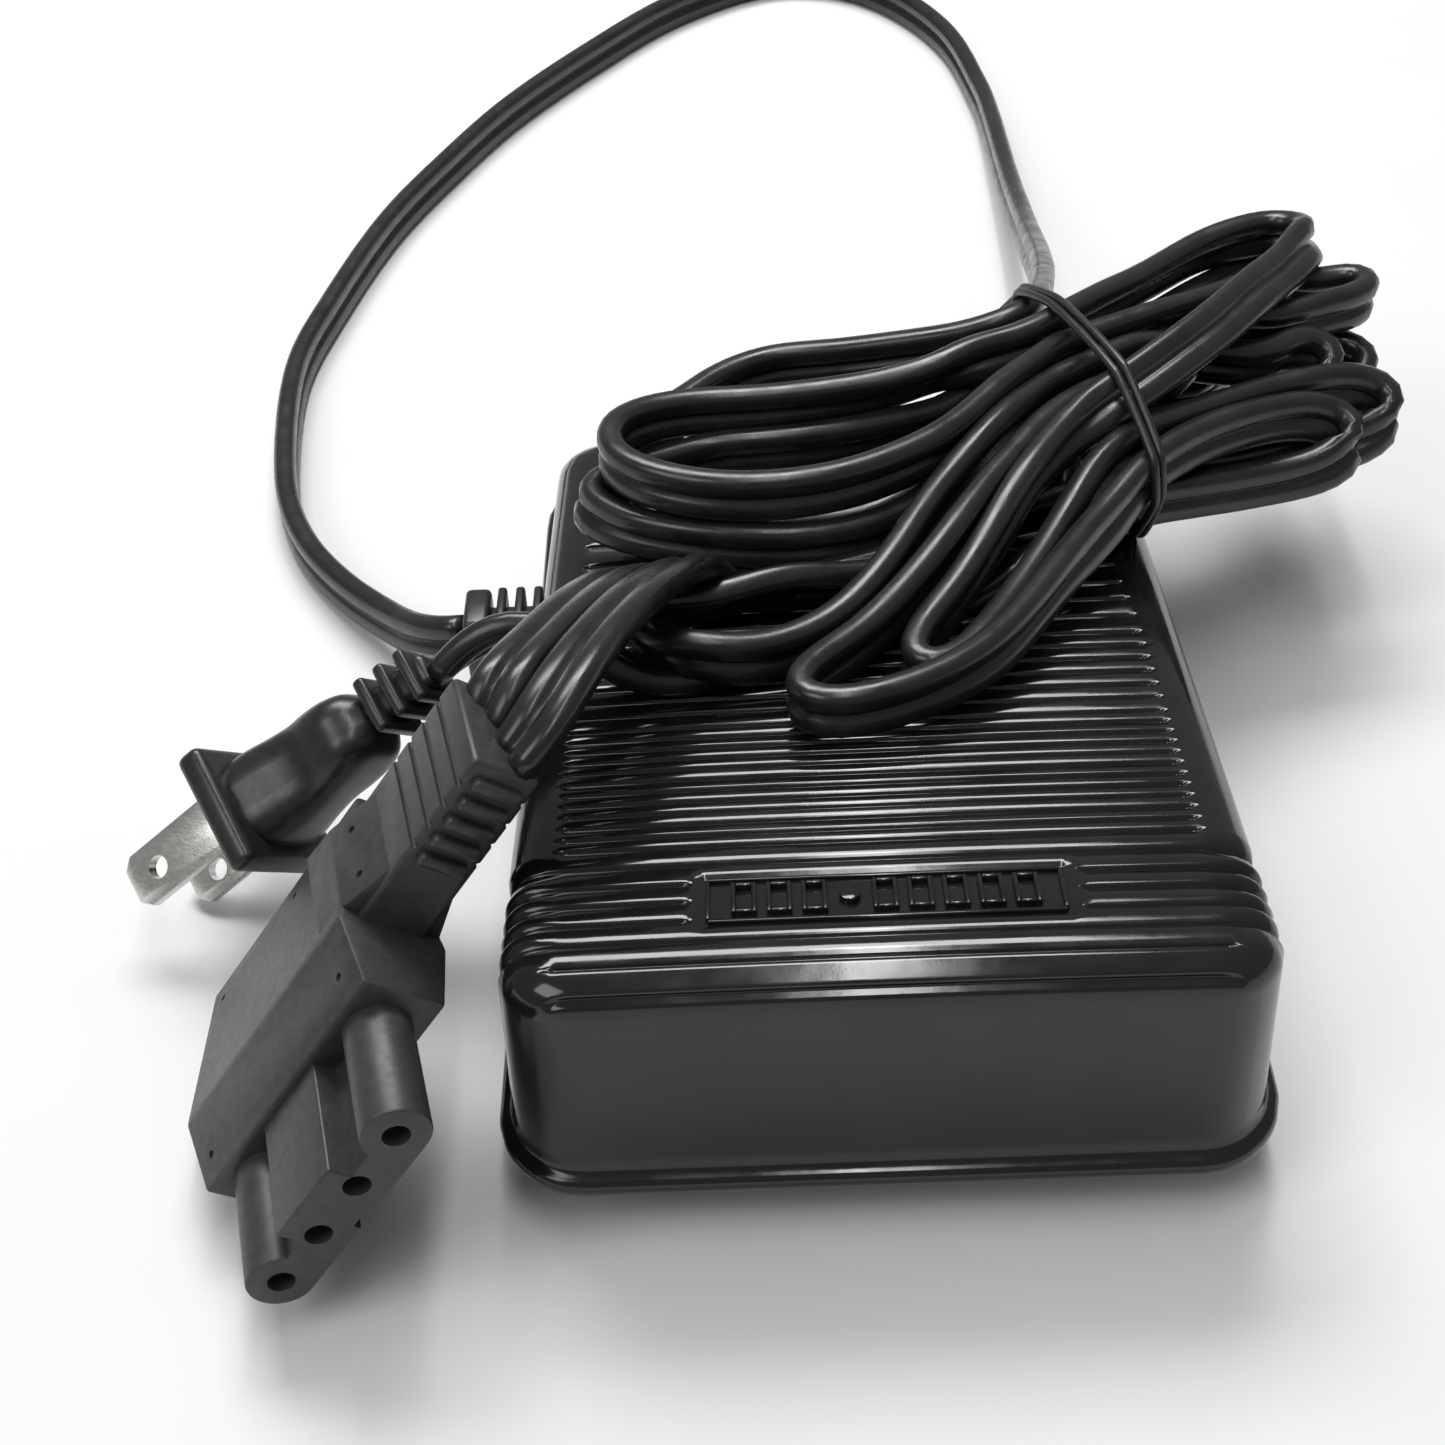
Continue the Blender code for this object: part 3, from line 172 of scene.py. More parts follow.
# Each route is a list of (x, y, z) or (x, y, z, roll), in mm. Roll 0 is on edge, and 90 is flat.
PEDAL_CORD = [
    (-58.0, 30, 12),
    (-60.4, 30.2, 11.6),
    (-65.5, 33.4, 9.6),
    (-71, 40, 7),
    (-81.5, 53, 4.8),
    (-90, 67.5, 4.2),
    (-95, 86, 4),
    (-97.5, 118, 4),
    (-93.5, 143, 4),
    (-86, 173, 4),
    (-76, 198, 4),
    (-64, 223, 4),
    (-47, 249, 4),
    (-29, 272, 4),
    (-8, 287, 4),
    (9, 286, 4),
    (23.5, 273, 4),
    (34.5, 250, 4),
    (39, 222, 4.4),
    (39.8, 204, 6),
    (39.5, 166, 11),
    (38.8, 131.5, 19),
    (36.8, 99, 30.5),
    (33.4, 76, 39),
    (29, 62.5, 43.5),
    (21, 60.5, 41.5),
    (11, 61.5, 39.5),
    (0, 63, 37.5),
    (-10, 63, 37),
    (-18, 58.5, 37),
    (-24, 51.5, 37),
    (-29.5, 44, 36.5),
    (-32, 35, 35),
    (-29, 26, 34),
    (-18, 21, 34),
    (-2, 21, 34.5),
    (14, 28, 35),
    (25, 38, 36.5),
    in_tie(6, LOWER),
    (50, 58, 37),
    (62, 68, 35.5),
    (69.5, 74, 35),
    (75, 80, 36),
    (73, 85.5, 37),
    (66.5, 84, 38),
    (57, 76, 38.5),
    (46, 66.5, 39),
    in_tie(16, LOWER),
    (24, 52, 40),
    (14, 47, 38.5),
    (3, 42.5, 38),
    (-9, 39.5, 38),
    (-21, 39, 38),
    (-30, 36, 38),
    (-35, 29, 38),
    (-33, 22, 38),
    (-26, 18, 38),
    (-17, 15.5, 38),
    (-6, 15, 38),
    (5, 18, 38),
    (14, 25, 38),
    (24, 36, 38),
    in_tie(11, LOWER),
    (50, 56, 36),
    (62, 62.5, 35.5),
    (73, 66, 34.5),
    (81, 65.7, 33.5),
    (83.5, 61.5, 32.5),
    (79.5, 57.3, 31),
    (72, 54.5, 29.7),
    (64, 52, 30),
    (54, 47.5, 32.5),
    in_tie(0.5, LOWER),
    (22, 34, 34.5, 30),
    (8, 26, 33, 75),
    (-6, 21.5, 32, 90),
]
MACHINE_CORD = [
    (-55.6, -8.5, 38.0, 60),
    (-50.5, -7.5, 42, 45),
    (-45, -7, 44, 45),
    (-39, -7.7, 42.5, 60),
    (-32, -8.5, 38, 80),
    (-24, -8, 34.8, 90),
    (-10, -4, 33.6, 90),
    (5, 2, 33, 90),
    (18, 12, 33, 80),
    (28, 23.5, 33.5, 30),
    in_tie(-5, LOWER),
    (52, 44.5, 33.5),
    (63, 48.5, 32.5),
    (70.5, 50.5, 34),
    (75.5, 54, 37),
    (73, 57.8, 39.8),
    (65, 56.5, 41.5),
    (54, 52.5, 42.5),
    in_tie(2.6, UPPER),
    (27, 41, 43.5),
    (19, 29, 43.5),
    (11, 16, 43),
    (4, 3.5, 41.5),
    (-3, -5, 39.5),
    (-12, -10.5, 39.5),
    (-21, -11.5, 39.5),
    (-28, -8, 39.3),
    (-30, -2, 39),
    (-25, 3, 39),
    (-12, 7, 38.5, 30),
    (0, 10.5, 37, 70),
    (12, 15, 36.3, 85),
    (24, 21, 35.7, 60),
    (32, 24.7, 35, 20),
    in_tie(-16, LOWER),
    (54, 33, 31.5),
    (64, 35.5, 31.3),
    (71, 36.5, 32.5),
    (75.5, 39.3, 34.5),
    (73, 42.5, 36.8),
    (66, 41.2, 38.7),
    (54, 35.7, 40),
    in_tie(-18.2, UPPER),
    (34.5, 17, 39),
    (28, 7, 39),
    (22, -3, 39.3),
    (16, -12, 40),
    (9, -18.5, 40.5),
    (1, -22.5, 40.8),
    (-5.5, -23.5, 40.8),
    (-9.5, -20.5, 40.6),
    (-7, -15.5, 40.3),
    (0, -8.5, 40),
    (7.5, 1, 41),
    (14, 10.5, 42.5),
    (21, 22, 43),
    (28.5, 33, 43.5),
    in_tie(-2.6, UPPER),
    (50, 50, 43.3),
    (64, 58, 43),
    (75, 63, 42.5),
    (82.5, 67, 42),
    (83, 72.3, 42),
    (76.5, 73.7, 42.5),
    (66, 69.3, 43.2),
    (52, 60, 44),
    in_tie(7.8, UPPER),
    (29, 44, 45),
    (21, 33.5, 45.5),
    (13, 26, 46),
    (1, 19, 46),
    (-9, 16.5, 46),
    (-18, 16.8, 46),
    (-26, 19.5, 46),
    (-32, 24, 46),
    (-34, 30.5, 45.5),
    (-31, 37, 44.5),
    (-23, 41.3, 43.5),
    (-10, 42.5, 43),
    (6, 45, 43),
    (18, 49, 43.5),
    (27, 52, 45),
    in_tie(13, UPPER),
    (43, 65, 44.5),
    (50, 72, 44),
    (58, 79, 44),
    (65, 82.5, 44),
    (71.5, 84.5, 44.3),
    (75.5, 80, 45),
    (72.5, 72, 46.5, 25),
    (63, 59, 48.8, 50),
    (53, 46.8, 49.6, 55),
    (*in_tie(-7.8, UPPER + 5), 50),
    (32.5, 31, 45, 25),
    (25.5, 22, 43.3),
    (19.5, 12, 41.2),
    (13.5, 1.5, 39.5),
    (7.5, -7.5, 38.5),
    (6.2, -12.8, 38.5),
    (9.5, -15, 38.5),
    (14, -12, 38.3),
    (19, -4.5, 38),
    (25, 6, 38),
    (31, 17, 38.5),
    in_tie(-13, UPPER),
    (54, 39.7, 40),
    (66, 45.5, 39.5),
    (76, 49, 38.5),
    (82, 48.8, 36.5),
    (82.5, 44.8, 34.2),
    (76, 43, 31.7),
    (66, 41.5, 30.7),
    (54, 37.5, 31.5),
    in_tie(-10.5, LOWER),
    (25, 27, 34, 30),
    (10, 18.5, 32.8, 75),
    (-4, 13.5, 32.3, 90),
]

# Where the two cords run side by side, from under the hank to the connector
LEADS = [
    (-19, 16, 32.6, 90),
    (-23, 10, 36, 96),
    (-26, 3, 43, 104),
    (-29.3, -6, 49.3, 105),
    (-33, -16.5, 54, 105),
    (-36.6, -26.5, 56.8, 104),
    (-39.4, -34, 58.2, 98),
    (-42, -39.1, 56.9, 92),
    (-44.3, -40.6, 53.4, 90),
]
LEAD_OFFSET = 3.9  # how far each one's middle is from the line between them


def spline_point(a, b, c, d, t):
    """A point between b and c on the smooth curve through a, b, c and d."""
    return 0.5 * (2 * b + (c - a) * t + (2 * a - 5 * b + 4 * c - d) * t**2 + (3 * b - a - 3 * c + d) * t**3)


def smooth_curve(points, steps):
    """Points along the smooth curve through the given ones, with that many steps from each to the next."""
    padded = np.vstack([2 * points[0] - points[1], points, 2 * points[-1] - points[-2]])
    found = []
    for corners in zip(padded, padded[1:], padded[2:], padded[3:]):
        found.extend(spline_point(*corners, t) for t in np.linspace(0, 1, steps, endpoint=False))
    return np.vstack([found, points[-1]])


def smooth_route(route):
    """The centreline of a smooth curve through the route's points, and its roll in degrees."""
    dense = smooth_curve(np.array([(*p, 0) if len(p) == 3 else p for p in route], float), 16)
    reach = np.concatenate([[0], np.cumsum(np.linalg.norm(np.diff(dense[:, :3], axis=0), axis=1))])
    at = np.linspace(0, reach[-1], round(reach[-1] / STEP) + 1)
    sampled = np.stack([np.interp(at, reach, dense[:, k]) for k in range(4)], axis=1)
    return sampled[:, :3], sampled[:, 3]


def unit(vectors):
    """The vectors at length 1."""
    return vectors / np.linalg.norm(vectors, axis=-1, keepdims=True)


def tangents(line):
    """The way along the line at each of its points."""
    return unit(np.gradient(line, axis=0))


def width_ways(line, roll):
    """The way across the flat cord's width at each point: upright at roll 0."""
    along = tangents(line)
    up = np.array((0, 0, 1.0)) - along[:, 2:3] * along
    up = unit(up)
    side = np.cross(along, up)
    turn = np.radians(roll)[:, None]
    return np.cos(turn) * up + np.sin(turn) * side


def eased(line, rounds):
    """The line with small wiggles smoothed out, its ends kept."""
    line = line.copy()
    for _ in range(rounds):
        line[1:-1] += 0.5 * (0.5 * (line[:-2] + line[2:]) - line[1:-1])
    return line


def rails_of(route, side):
    """The two cores' centrelines, for the route and its place beside the other cord at the connector."""
    leads, lead_roll = smooth_route(LEADS)
    leads = leads + side * LEAD_OFFSET * width_ways(leads, lead_roll)
    route = route + [(*p, r) for p, r in zip(leads[1::3], lead_roll[1::3])] + [(*leads[-1], lead_roll[-1])]
    line, roll = smooth_route(route)
    line = eased(line, 4)
    across = width_ways(line, roll)
    return line + CORE * across, line - CORE * across


def floor_under(points):
    """Lowest place for a core's middle: lying on the cover's top, or on the table."""
    on_cover = (np.abs(points[:, 0]) < COVER_HALF_X) & (np.abs(points[:, 1]) < COVER_HALF_Y)
    return np.where(on_cover, cover_top(points[:, 1]), 0.0) + CORE + REST_GAP


def near_pairs(points, owner, index, reach):
    """Pairs of points of different stretches that are closer than reach."""
    block = 400
    found = []
    for start in range(0, len(points), block):
        gap = np.linalg.norm(points[start : start + block, None, :] - points[None, :, :], axis=2)
        a, b = np.nonzero(gap < reach)
        a = a + start
        keep = (a < b) & ~((owner[a] == owner[b]) & (np.abs(index[a] - index[b]) < OWN_REACH))
        found.append((a[keep], b[keep]))
    return (np.concatenate(side) for side in zip(*found))


def smoothed(values, spans, kernel):
    """Values along each rail, smoothed along it."""
    values = values.copy()
    for start, count in spans:
        for k in range(3):
            values[start : start + count, k] = np.convolve(values[start : start + count, k], kernel, "same")
    return values


def held_width(points, spans):
    """The rails with their right distance from each other kept along every cord."""
    points = points.copy()
    for (start, count), (other, _) in zip(spans[::2], spans[1::2]):
        one, two = points[start : start + count], points[other : other + count]
        middle = 0.5 * (one + two)
        along = tangents(middle)
        across = unit(one - two)
        across = unit(across - np.sum(across * along, axis=1, keepdims=True) * along)
        points[start : start + count] = middle + CORE * across
        points[other : other + count] = middle - CORE * across
    return points


def settle(cords, rounds):
    """Pushes the cords apart where they would lie in each other, in long soft curves."""
    sizes = [len(a) for a, _ in cords for _ in (0, 1)]
    starts = np.cumsum([0] + sizes[:-1])
    spans = list(zip(starts, sizes))
    drawn = np.vstack([rail for pair in cords for rail in pair])
    owner = np.concatenate([np.full(n, i // 2) for i, n in enumerate(sizes)])
    index = np.concatenate([np.arange(n) for n in sizes])
    reach = np.arange(-KERNEL_REACH, KERNEL_REACH + 1)
    kernel = np.exp(-0.5 * (reach / KERNEL_WIDTH) ** 2)
    kernel /= kernel.sum()
    last = np.concatenate([np.arange(n)[::-1] for n in sizes])
    free = np.clip(np.minimum(index, last) / END_HOLD - 0.5, 0, 1)[:, None]
    clear = 2 * CORE + CORD_GAP
    points = drawn.copy()
    for turn in range(rounds):
        if turn % SEARCH_EVERY == 0:
            a, b = near_pairs(points, owner, index, clear + SEARCH_MARGIN)
        apart = points[a] - points[b]
        gap = np.linalg.norm(apart, axis=1)
        push = apart / np.maximum(gap, 0.05)[:, None] * (0.5 * np.clip(clear - gap, 0, None))[:, None]
        move = np.zeros_like(points)
        np.add.at(move, a, push)
        np.add.at(move, b, -push)
        low = floor_under(points)
        move[:, 2] += np.clip(low - points[:, 2], 0, None)
        move = smoothed(np.clip(move, -LARGEST_PUSH, LARGEST_PUSH), spans, kernel)
        shift = points - drawn + OVERSHOOT * move
        points = held_width(drawn + free * RETURN * shift, spans)
    return [(points[s : s + n], points[t : t + n]) for (s, n), (t, _) in zip(spans[::2], spans[1::2])]


def cord_section():
    """The flat twin cord's outline as (across, through): two cores and the grooves between them."""
    outline = []
    for side in (1, -1):
        for k in range(CORE_POINTS):
            angle = math.radians(CORE_FIRST + CORE_TURN * k)
            c, s = math.cos(angle), math.sin(angle)
            across = CORE * math.copysign(abs(c) ** CORE_FLATNESS, c)
            through = CORE * math.copysign(abs(s) ** CORE_FLATNESS, s)
            outline.append((side * (CORE + across), side * through))
    return outline


def sweep(name, pair):
    """The flat cord along its two rails as a closed mesh in metres, and its centreline."""
    one, two = pair
    middle = 0.5 * (one + two)
    across = unit(one - two)
    through = np.cross(tangents(middle), across)
    section = cord_section()
    bm = bmesh.new()
    rings = []
    for centre, wide, thin in zip(middle, across, through):
        rings.append([bm.verts.new((centre + a * wide + b * thin) * MM) for a, b in section])
    skin_over(bm, rings)
    return new_object(name, bm, None), middle * MM


drawn_cords = [rails_of(PEDAL_CORD, 1), rails_of(MACHINE_CORD, -1)]
settled = settle(drawn_cords, SETTLE_ROUNDS)
pedal_cord, pedal_path = sweep("pedal_cord", settled[0])
machine_cord, machine_path = sweep("machine_cord", settled[1])

# -------- helpers for rigid pieces


def rounded_box(size, centre, radius, segments=3):
    """A box with rounded edges, in mm, as a bmesh."""
    bm = bmesh.new()
    matrix = Matrix.Translation(centre) @ Matrix.Diagonal((*size, 1))
    bmesh.ops.create_cube(bm, size=1.0, matrix=matrix)
    bmesh.ops.bevel(bm, geom=bm.edges[:], offset=radius, segments=segments, profile=0.5, affect="EDGES")
    return bm


def barrel(radius, low, high, sides=48, rim=0.3):
    """A cylinder between two points, with a small chamfer at both rims, as a bmesh."""
    low, high = Vector(low), Vector(high)
    turn = (high - low).to_track_quat("Z", "Y").to_matrix().to_4x4()
    bm = bmesh.new()
    bmesh.ops.create_cone(
        bm,
        cap_ends=True,
        segments=sides,
        radius1=radius,
        radius2=radius,
        depth=(high - low).length,
        matrix=Matrix.Translation((low + high) / 2) @ turn,
    )
    if rim:
        rims = {e for f in bm.faces if len(f.verts) == sides for e in f.edges}
        bmesh.ops.bevel(bm, geom=list(rims), offset=rim, segments=2, profile=0.5, affect="EDGES")
    return bm


def prism(section, place, low, high, radius):
    """A prism of the section between low and high; place(a, b, t) gives a corner's position."""
    bm = bmesh.new()
    near = [bm.verts.new(place(a, b, low)) for a, b in section]
    far = [bm.verts.new(place(a, b, high)) for a, b in section]
    bm.faces.new(near[::-1])
    bm.faces.new(far)
    for i, vert in enumerate(near):
        j = (i + 1) % len(near)
        bm.faces.new((vert, near[j], far[j], far[i]))
    bmesh.ops.recalc_face_normals(bm, faces=bm.faces)
    if radius:
        bmesh.ops.bevel(bm, geom=bm.edges[:], offset=radius, segments=2, profile=0.5, affect="EDGES")
    return bm


def loft(stations, seam, power=3.2, sides=56):
    """A closed body through superelliptic sections (x, half y, half z), with a fine seam on both sides."""
    bm = bmesh.new()
    rings = []
    for x, half_y, half_z in stations:
        ring = []
        for k in range(sides):
            angle = 2 * math.pi * k / sides
            c, s = math.cos(angle), math.sin(angle)
            y = half_y * math.copysign(abs(c) ** (2 / power), c)
            z = half_z * math.copysign(abs(s) ** (2 / power), s)
            inward = seam if abs(s) < 0.01 else 0.0
            ring.append(bm.verts.new((x, y - math.copysign(inward, c), z)))
        rings.append(ring)
    skin_over(bm, rings)
    return bm


def boolean(target, tool, operation):
    """The target joined with, or cut by, the tool, which is then gone."""
    modifier = target.modifiers.new("shape", "BOOLEAN")
    modifier.operation = operation
    modifier.solver = "MANIFOLD"
    modifier.object = tool
    bpy.context.view_layer.update()
    made = bpy.data.meshes.new_from_object(target.evaluated_get(bpy.context.evaluated_depsgraph_get()))
    target.modifiers.clear()
    target.data = made
    bpy.data.objects.remove(tool)


def moulded(name, solids, cuts=(), angle=40):
    """One object from solids joined together and cut, each a bmesh."""
    target = new_object(name, solids[0])
    for solid in solids[1:]:
        boolean(target, new_object("joined", solid), "UNION")
    for cut in cuts:
        boolean(target, new_object("cutter", cut), "DIFFERENCE")
    target.data.shade_smooth()
    target.data.set_sharp_from_angle(angle=math.radians(angle))
    return target


def gathered(name, solids):
    """One object from several separate closed solids that stand on each other."""
    mesh = bpy.data.meshes.new(name)
    whole = bmesh.new()
    for solid in solids:
        bmesh.ops.recalc_face_normals(solid, faces=solid.faces)
        solid.to_mesh(mesh)
        solid.free()
        whole.from_mesh(mesh)
    bpy.data.meshes.remove(mesh)
    return new_object(name, whole)


def set_in_place(obj, place=(0, 0, 0), turn=(0, 0, 0)):
    """Turns the object's mesh from its own frame in mm to its place in metres."""
    pose = Matrix.Translation(place) @ Euler([math.radians(a) for a in turn]).to_matrix().to_4x4()
    obj.data.transform(Matrix.Scale(MM, 4) @ pose)
    return obj


# -------- treadle cover

# Half sizes of the walls at the lip and of the top, and the top's round corners and edges
WALL_HALF = (45.7, 70.7)
TOP_HALF = (45.0, 69.1)
TOP_CORNER = 8.5
EDGE_RADIUS = 5.0
EDGE_ARC = [EDGE_RADIUS * (1 - math.cos(math.radians(a))) for a in (0, 8, 16, 25, 35, 46, 58, 72, 90)]
CROWN = 0.5
SKIN = 2.2
LIP_BOTTOM = 8.5
LIP_TOP = 11.1

# Grooves across the top: places near the toe, then the pitches between the others
TOE_GROOVES = (-68.2, -64.6, -60.9, -57.4, -53.9, -50.6, -47.0)
PITCHES_FROM = -45.72
PITCHES = [2.32] * 12 + [3.25] * 6 + [4.45] * 3 + [5.1] * 2 + [6.3] * 2 + [7.7] * 2
GROOVE_HALF = 38.4
GROOVE_WIDTH = 0.42
GROOVE_DEPTH = 0.55
GROOVE_END = 1.2
GROOVE_STEPS = (-1.25, -0.85, -0.5, -0.22, 0, 0.22, 0.5, 0.85, 1.25)

# Grooves that widen and deepen towards the sides, and how far down the walls they go
FIN_GROOVES = (2, 3, 4, 5, 6)
FIN_START, FIN_RUN = 39.5, 5
FIN_DEEPER, FIN_WIDER = 0.75, 0.9
FIN_LEVELS = (1.0, 2.0, 3.2, 4.6, 6.2)
FIN_FADE = (3.4, 4.5)

# Where the plain wall has rings of points, as parts of its height, and how far its inner side goes up
WALL_PARTS = (0.45, 0.62, 0.78, 0.9)
INNER_RISE = 3

# The label's recess, and the grooves that stop beside it
LABEL_GROOVES = (3, 4, 5)
LABEL_CLEAR = 23.0
LABEL_HALF = (21.5, 4.6)
LABEL_Y = -53.9
LABEL_DEPTH = 0.4

# The lip's bead as (distance out from the wall, height), from the top down
LIP_PROFILE = (
    (0.15, 11.7),
    (0.5, 11.25),
    (1.1, 11.05),
    (1.55, 10.7),
    (1.8, 10.1),
    (1.8, 9.4),
    (1.6, 8.8),
    (1.1, 8.5),
    (0.2, 8.5),
)


def groove_places():
    """Distance of each groove from the middle, from the toe to the heel."""
    places = list(TOE_GROOVES)
    y = PITCHES_FROM
    for pitch in PITCHES:
        y += pitch
        places.append(y)
    return places


GROOVES = groove_places()


def half_width_at(y):
    """Half the top's width at a distance from the middle, with round corners in plan."""
    past = np.clip(np.abs(y) - (TOP_HALF[1] - TOP_CORNER), 0, TOP_CORNER)
    return TOP_HALF[0] - TOP_CORNER + np.sqrt(TOP_CORNER**2 - past**2)


def rows():
    """Distances from the middle at which the top has a row of points, closer over edges and grooves."""
    closest = 0.07
    found = [-TOP_HALF[1] + step for step in EDGE_ARC] + [TOP_HALF[1] - step for step in EDGE_ARC]
    for y in GROOVES:
        found += [y + step * GROOVE_WIDTH for step in GROOVE_STEPS]
    found += [LABEL_Y + side * (LABEL_HALF[1] + step) for side in (-1, 1) for step in (0, -0.15, -0.3)]
    found += list(np.arange(-62, 63, 3.1))
    found = sorted(y for y in found if abs(y) <= TOP_HALF[1])
    kept = [found[0]]
    for y in found[1:]:
        if y - kept[-1] > closest:
            kept.append(y)
    kept[-1] = TOP_HALF[1]
    return np.array(kept)


def columns():
    """Places across the top, as parts of its half width."""
    half = [TOP_HALF[0] - step for step in EDGE_ARC]
    half += [39.2, 38.7, 38.3, 37.9, 37.3, 36, 33, 30, 27, 24.5, 23.6, 23.2, 22.8, 22.3, 21.5, 21.2, 20.8]
    half += [17, 13, 9, 4.5]
    return np.array([-x for x in half] + [0] + half[::-1]) / TOP_HALF[0]


def step_up(x, edge, width):
    """0 before the edge and 1 after it, with a smooth step of that width."""
    t = np.clip((x - edge) / width + 0.5, 0, 1)
    return t * t * (3 - 2 * t)


def carving(x, y):
    """How deep the grooves, the fins and the label's recess are at each point."""
    across = np.abs(x)
    depth = np.zeros_like(x)
    for number, groove_y in enumerate(GROOVES):
        width = np.full_like(x, GROOVE_WIDTH)
        reach = 1 - step_up(across, GROOVE_HALF, GROOVE_END)
        strength = GROOVE_DEPTH * reach
        if number in FIN_GROOVES:
            outer = step_up(across, FIN_START, FIN_RUN)
            strength = GROOVE_DEPTH * (1 + FIN_DEEPER * outer)
            width = GROOVE_WIDTH * (1 + FIN_WIDER * outer)
        if number in LABEL_GROOVES:
            strength = strength * step_up(across, LABEL_CLEAR, 1.0)
        hollow = 0.5 + 0.5 * np.cos(np.pi * np.clip((y - groove_y) / (GROOVE_STEPS[-1] * width), -1, 1))
        depth = np.maximum(depth, strength * hollow)
    beside = step_up(across, LABEL_HALF[0], 0.5)
    beyond = step_up(np.abs(y - LABEL_Y), LABEL_HALF[1], 0.4)
    return np.maximum(depth, LABEL_DEPTH * ((1 - beside) * (1 - beyond)))


def rounded_top(x, y):
    """Height of the smooth top, and the way its surface faces, with the edges rounded over."""
    past_x = np.abs(x) - (TOP_HALF[0] - TOP_CORNER)
    past_y = np.abs(y) - (TOP_HALF[1] - TOP_CORNER)
    out = np.hypot(np.maximum(past_x, 0), np.maximum(past_y, 0))
    inside = TOP_CORNER - out - np.minimum(np.maximum(past_x, past_y), 0)
    lean = np.clip((EDGE_RADIUS - inside) / EDGE_RADIUS, 0, 1)
    corner = (past_x > 0) & (past_y > 0)
    safe = np.maximum(out, 1e-6)
    face_x = np.where(corner, past_x / safe, past_x >= past_y) * np.sign(x)
    face_y = np.where(corner, past_y / safe, past_x < past_y) * np.sign(y)
    drop = EDGE_RADIUS * (1 - np.sqrt(1 - lean**2))
    bulge = CROWN * ((x / TOP_HALF[0]) ** 2 + 0.5 * (y / TOP_HALF[1]) ** 2)
    height = cover_top(y) - bulge - drop
    return height, np.stack([lean * face_x, lean * face_y, np.sqrt(1 - lean**2)], axis=-1), (face_x, face_y)


def skin_levels(top, face, at_x, at_y, fin):
    """The wall's rings of points from the top edge down to the lip and in under it."""
    face_x, face_y = face
    rings = []
    for below in FIN_LEVELS:
        fade = fin * (1 - step_up(np.full_like(top, below), *FIN_FADE))
        z = top - below
        rings.append((z, -fade))
    for part in WALL_PARTS:
        rings.append((top + (LIP_TOP - top) * part, np.zeros_like(top)))
    found = []
    for z, outward in rings:
        part = (top - z) / (top - LIP_TOP)
        side = outward + part * (WALL_HALF[0] - TOP_HALF[0])
        end = outward + part * (WALL_HALF[1] - TOP_HALF[1])
        found.append(np.stack([at_x + face_x * side, at_y + face_y * end, z], axis=-1))
    for outward, z in (*LIP_PROFILE, (-SKIN, LIP_BOTTOM), (-SKIN, LIP_TOP + INNER_RISE)):
        side = outward + WALL_HALF[0] - TOP_HALF[0]
        end = outward + WALL_HALF[1] - TOP_HALF[1]
        found.append(np.stack([at_x + face_x * side, at_y + face_y * end, np.full_like(top, z)], axis=-1))
    return found


def around(count_y, count_x):
    """Indices of a grid's edge points, once round."""
    low = [(0, i) for i in range(count_x)]
    right = [(j, count_x - 1) for j in range(1, count_y)]
    high = [(count_y - 1, i) for i in range(count_x - 2, -1, -1)]
    left = [(j, 0) for j in range(count_y - 2, 0, -1)]
    return low + right + high + left


# The opening in the left wall for the strain relief
NOTCH_SIZE = (14, 10.5, 26)
NOTCH_PLACE = (-45, 30, 8.5)


def build_cover():
    """The cover's shell: carved top, walls, lip bead and inner skin, as one closed surface."""
    y_rows, parts = rows(), columns()
    y = np.repeat(y_rows[:, None], len(parts), axis=1)
    x = half_width_at(y) * parts[None, :]
    height, facing, face = rounded_top(x, y)
    depth = carving(x, y)
    outer = np.stack([x, y, height], axis=-1) - depth[..., None] * facing
    shrink = np.array([1 - SKIN / TOP_HALF[0], 1 - SKIN / TOP_HALF[1]])
    inner = np.stack([x * shrink[0], y * shrink[1], height - SKIN], axis=-1)
    edge = around(*x.shape)
    rim = tuple(np.array(edge).T)
    top = height[rim]
    fin = np.where(np.abs(x[rim]) > GROOVE_HALF, depth[rim], 0)
    levels = skin_levels(top, (face[0][rim], face[1][rim]), x[rim], y[rim], fin)
    bm = bmesh.new()

    def sheet(points, flip):
        """Faces over the grid of points; returns the points round its edge."""
        grid = [[bm.verts.new(p) for p in row] for row in points]
        for low, high in zip(grid, grid[1:]):
            for i in range(len(low) - 1):
                corners = (low[i], low[i + 1], high[i + 1], high[i])
                bm.faces.new(corners[::-1] if flip else corners)
        return [grid[j][i] for j, i in edge]

    before = sheet(outer, False)
    for level in levels:
        ring = [bm.verts.new(p) for p in level]
        join_rings(bm, ring, before)
        before = ring
    join_rings(bm, sheet(inner, True), before)
    return set_in_place(moulded("treadle_skin", [bm], [rounded_box(NOTCH_SIZE, NOTCH_PLACE, 1.5)], 60))


HINGE_Y, HINGE_Z = 59.5, 11.5
PIN_BORE = 1.7
LUG_X, LUG_HALF = 27, 2
LUG_SECTION = ((-4, 8.2), (4, 8.2), (4, 20.5), (-4, 21.5))


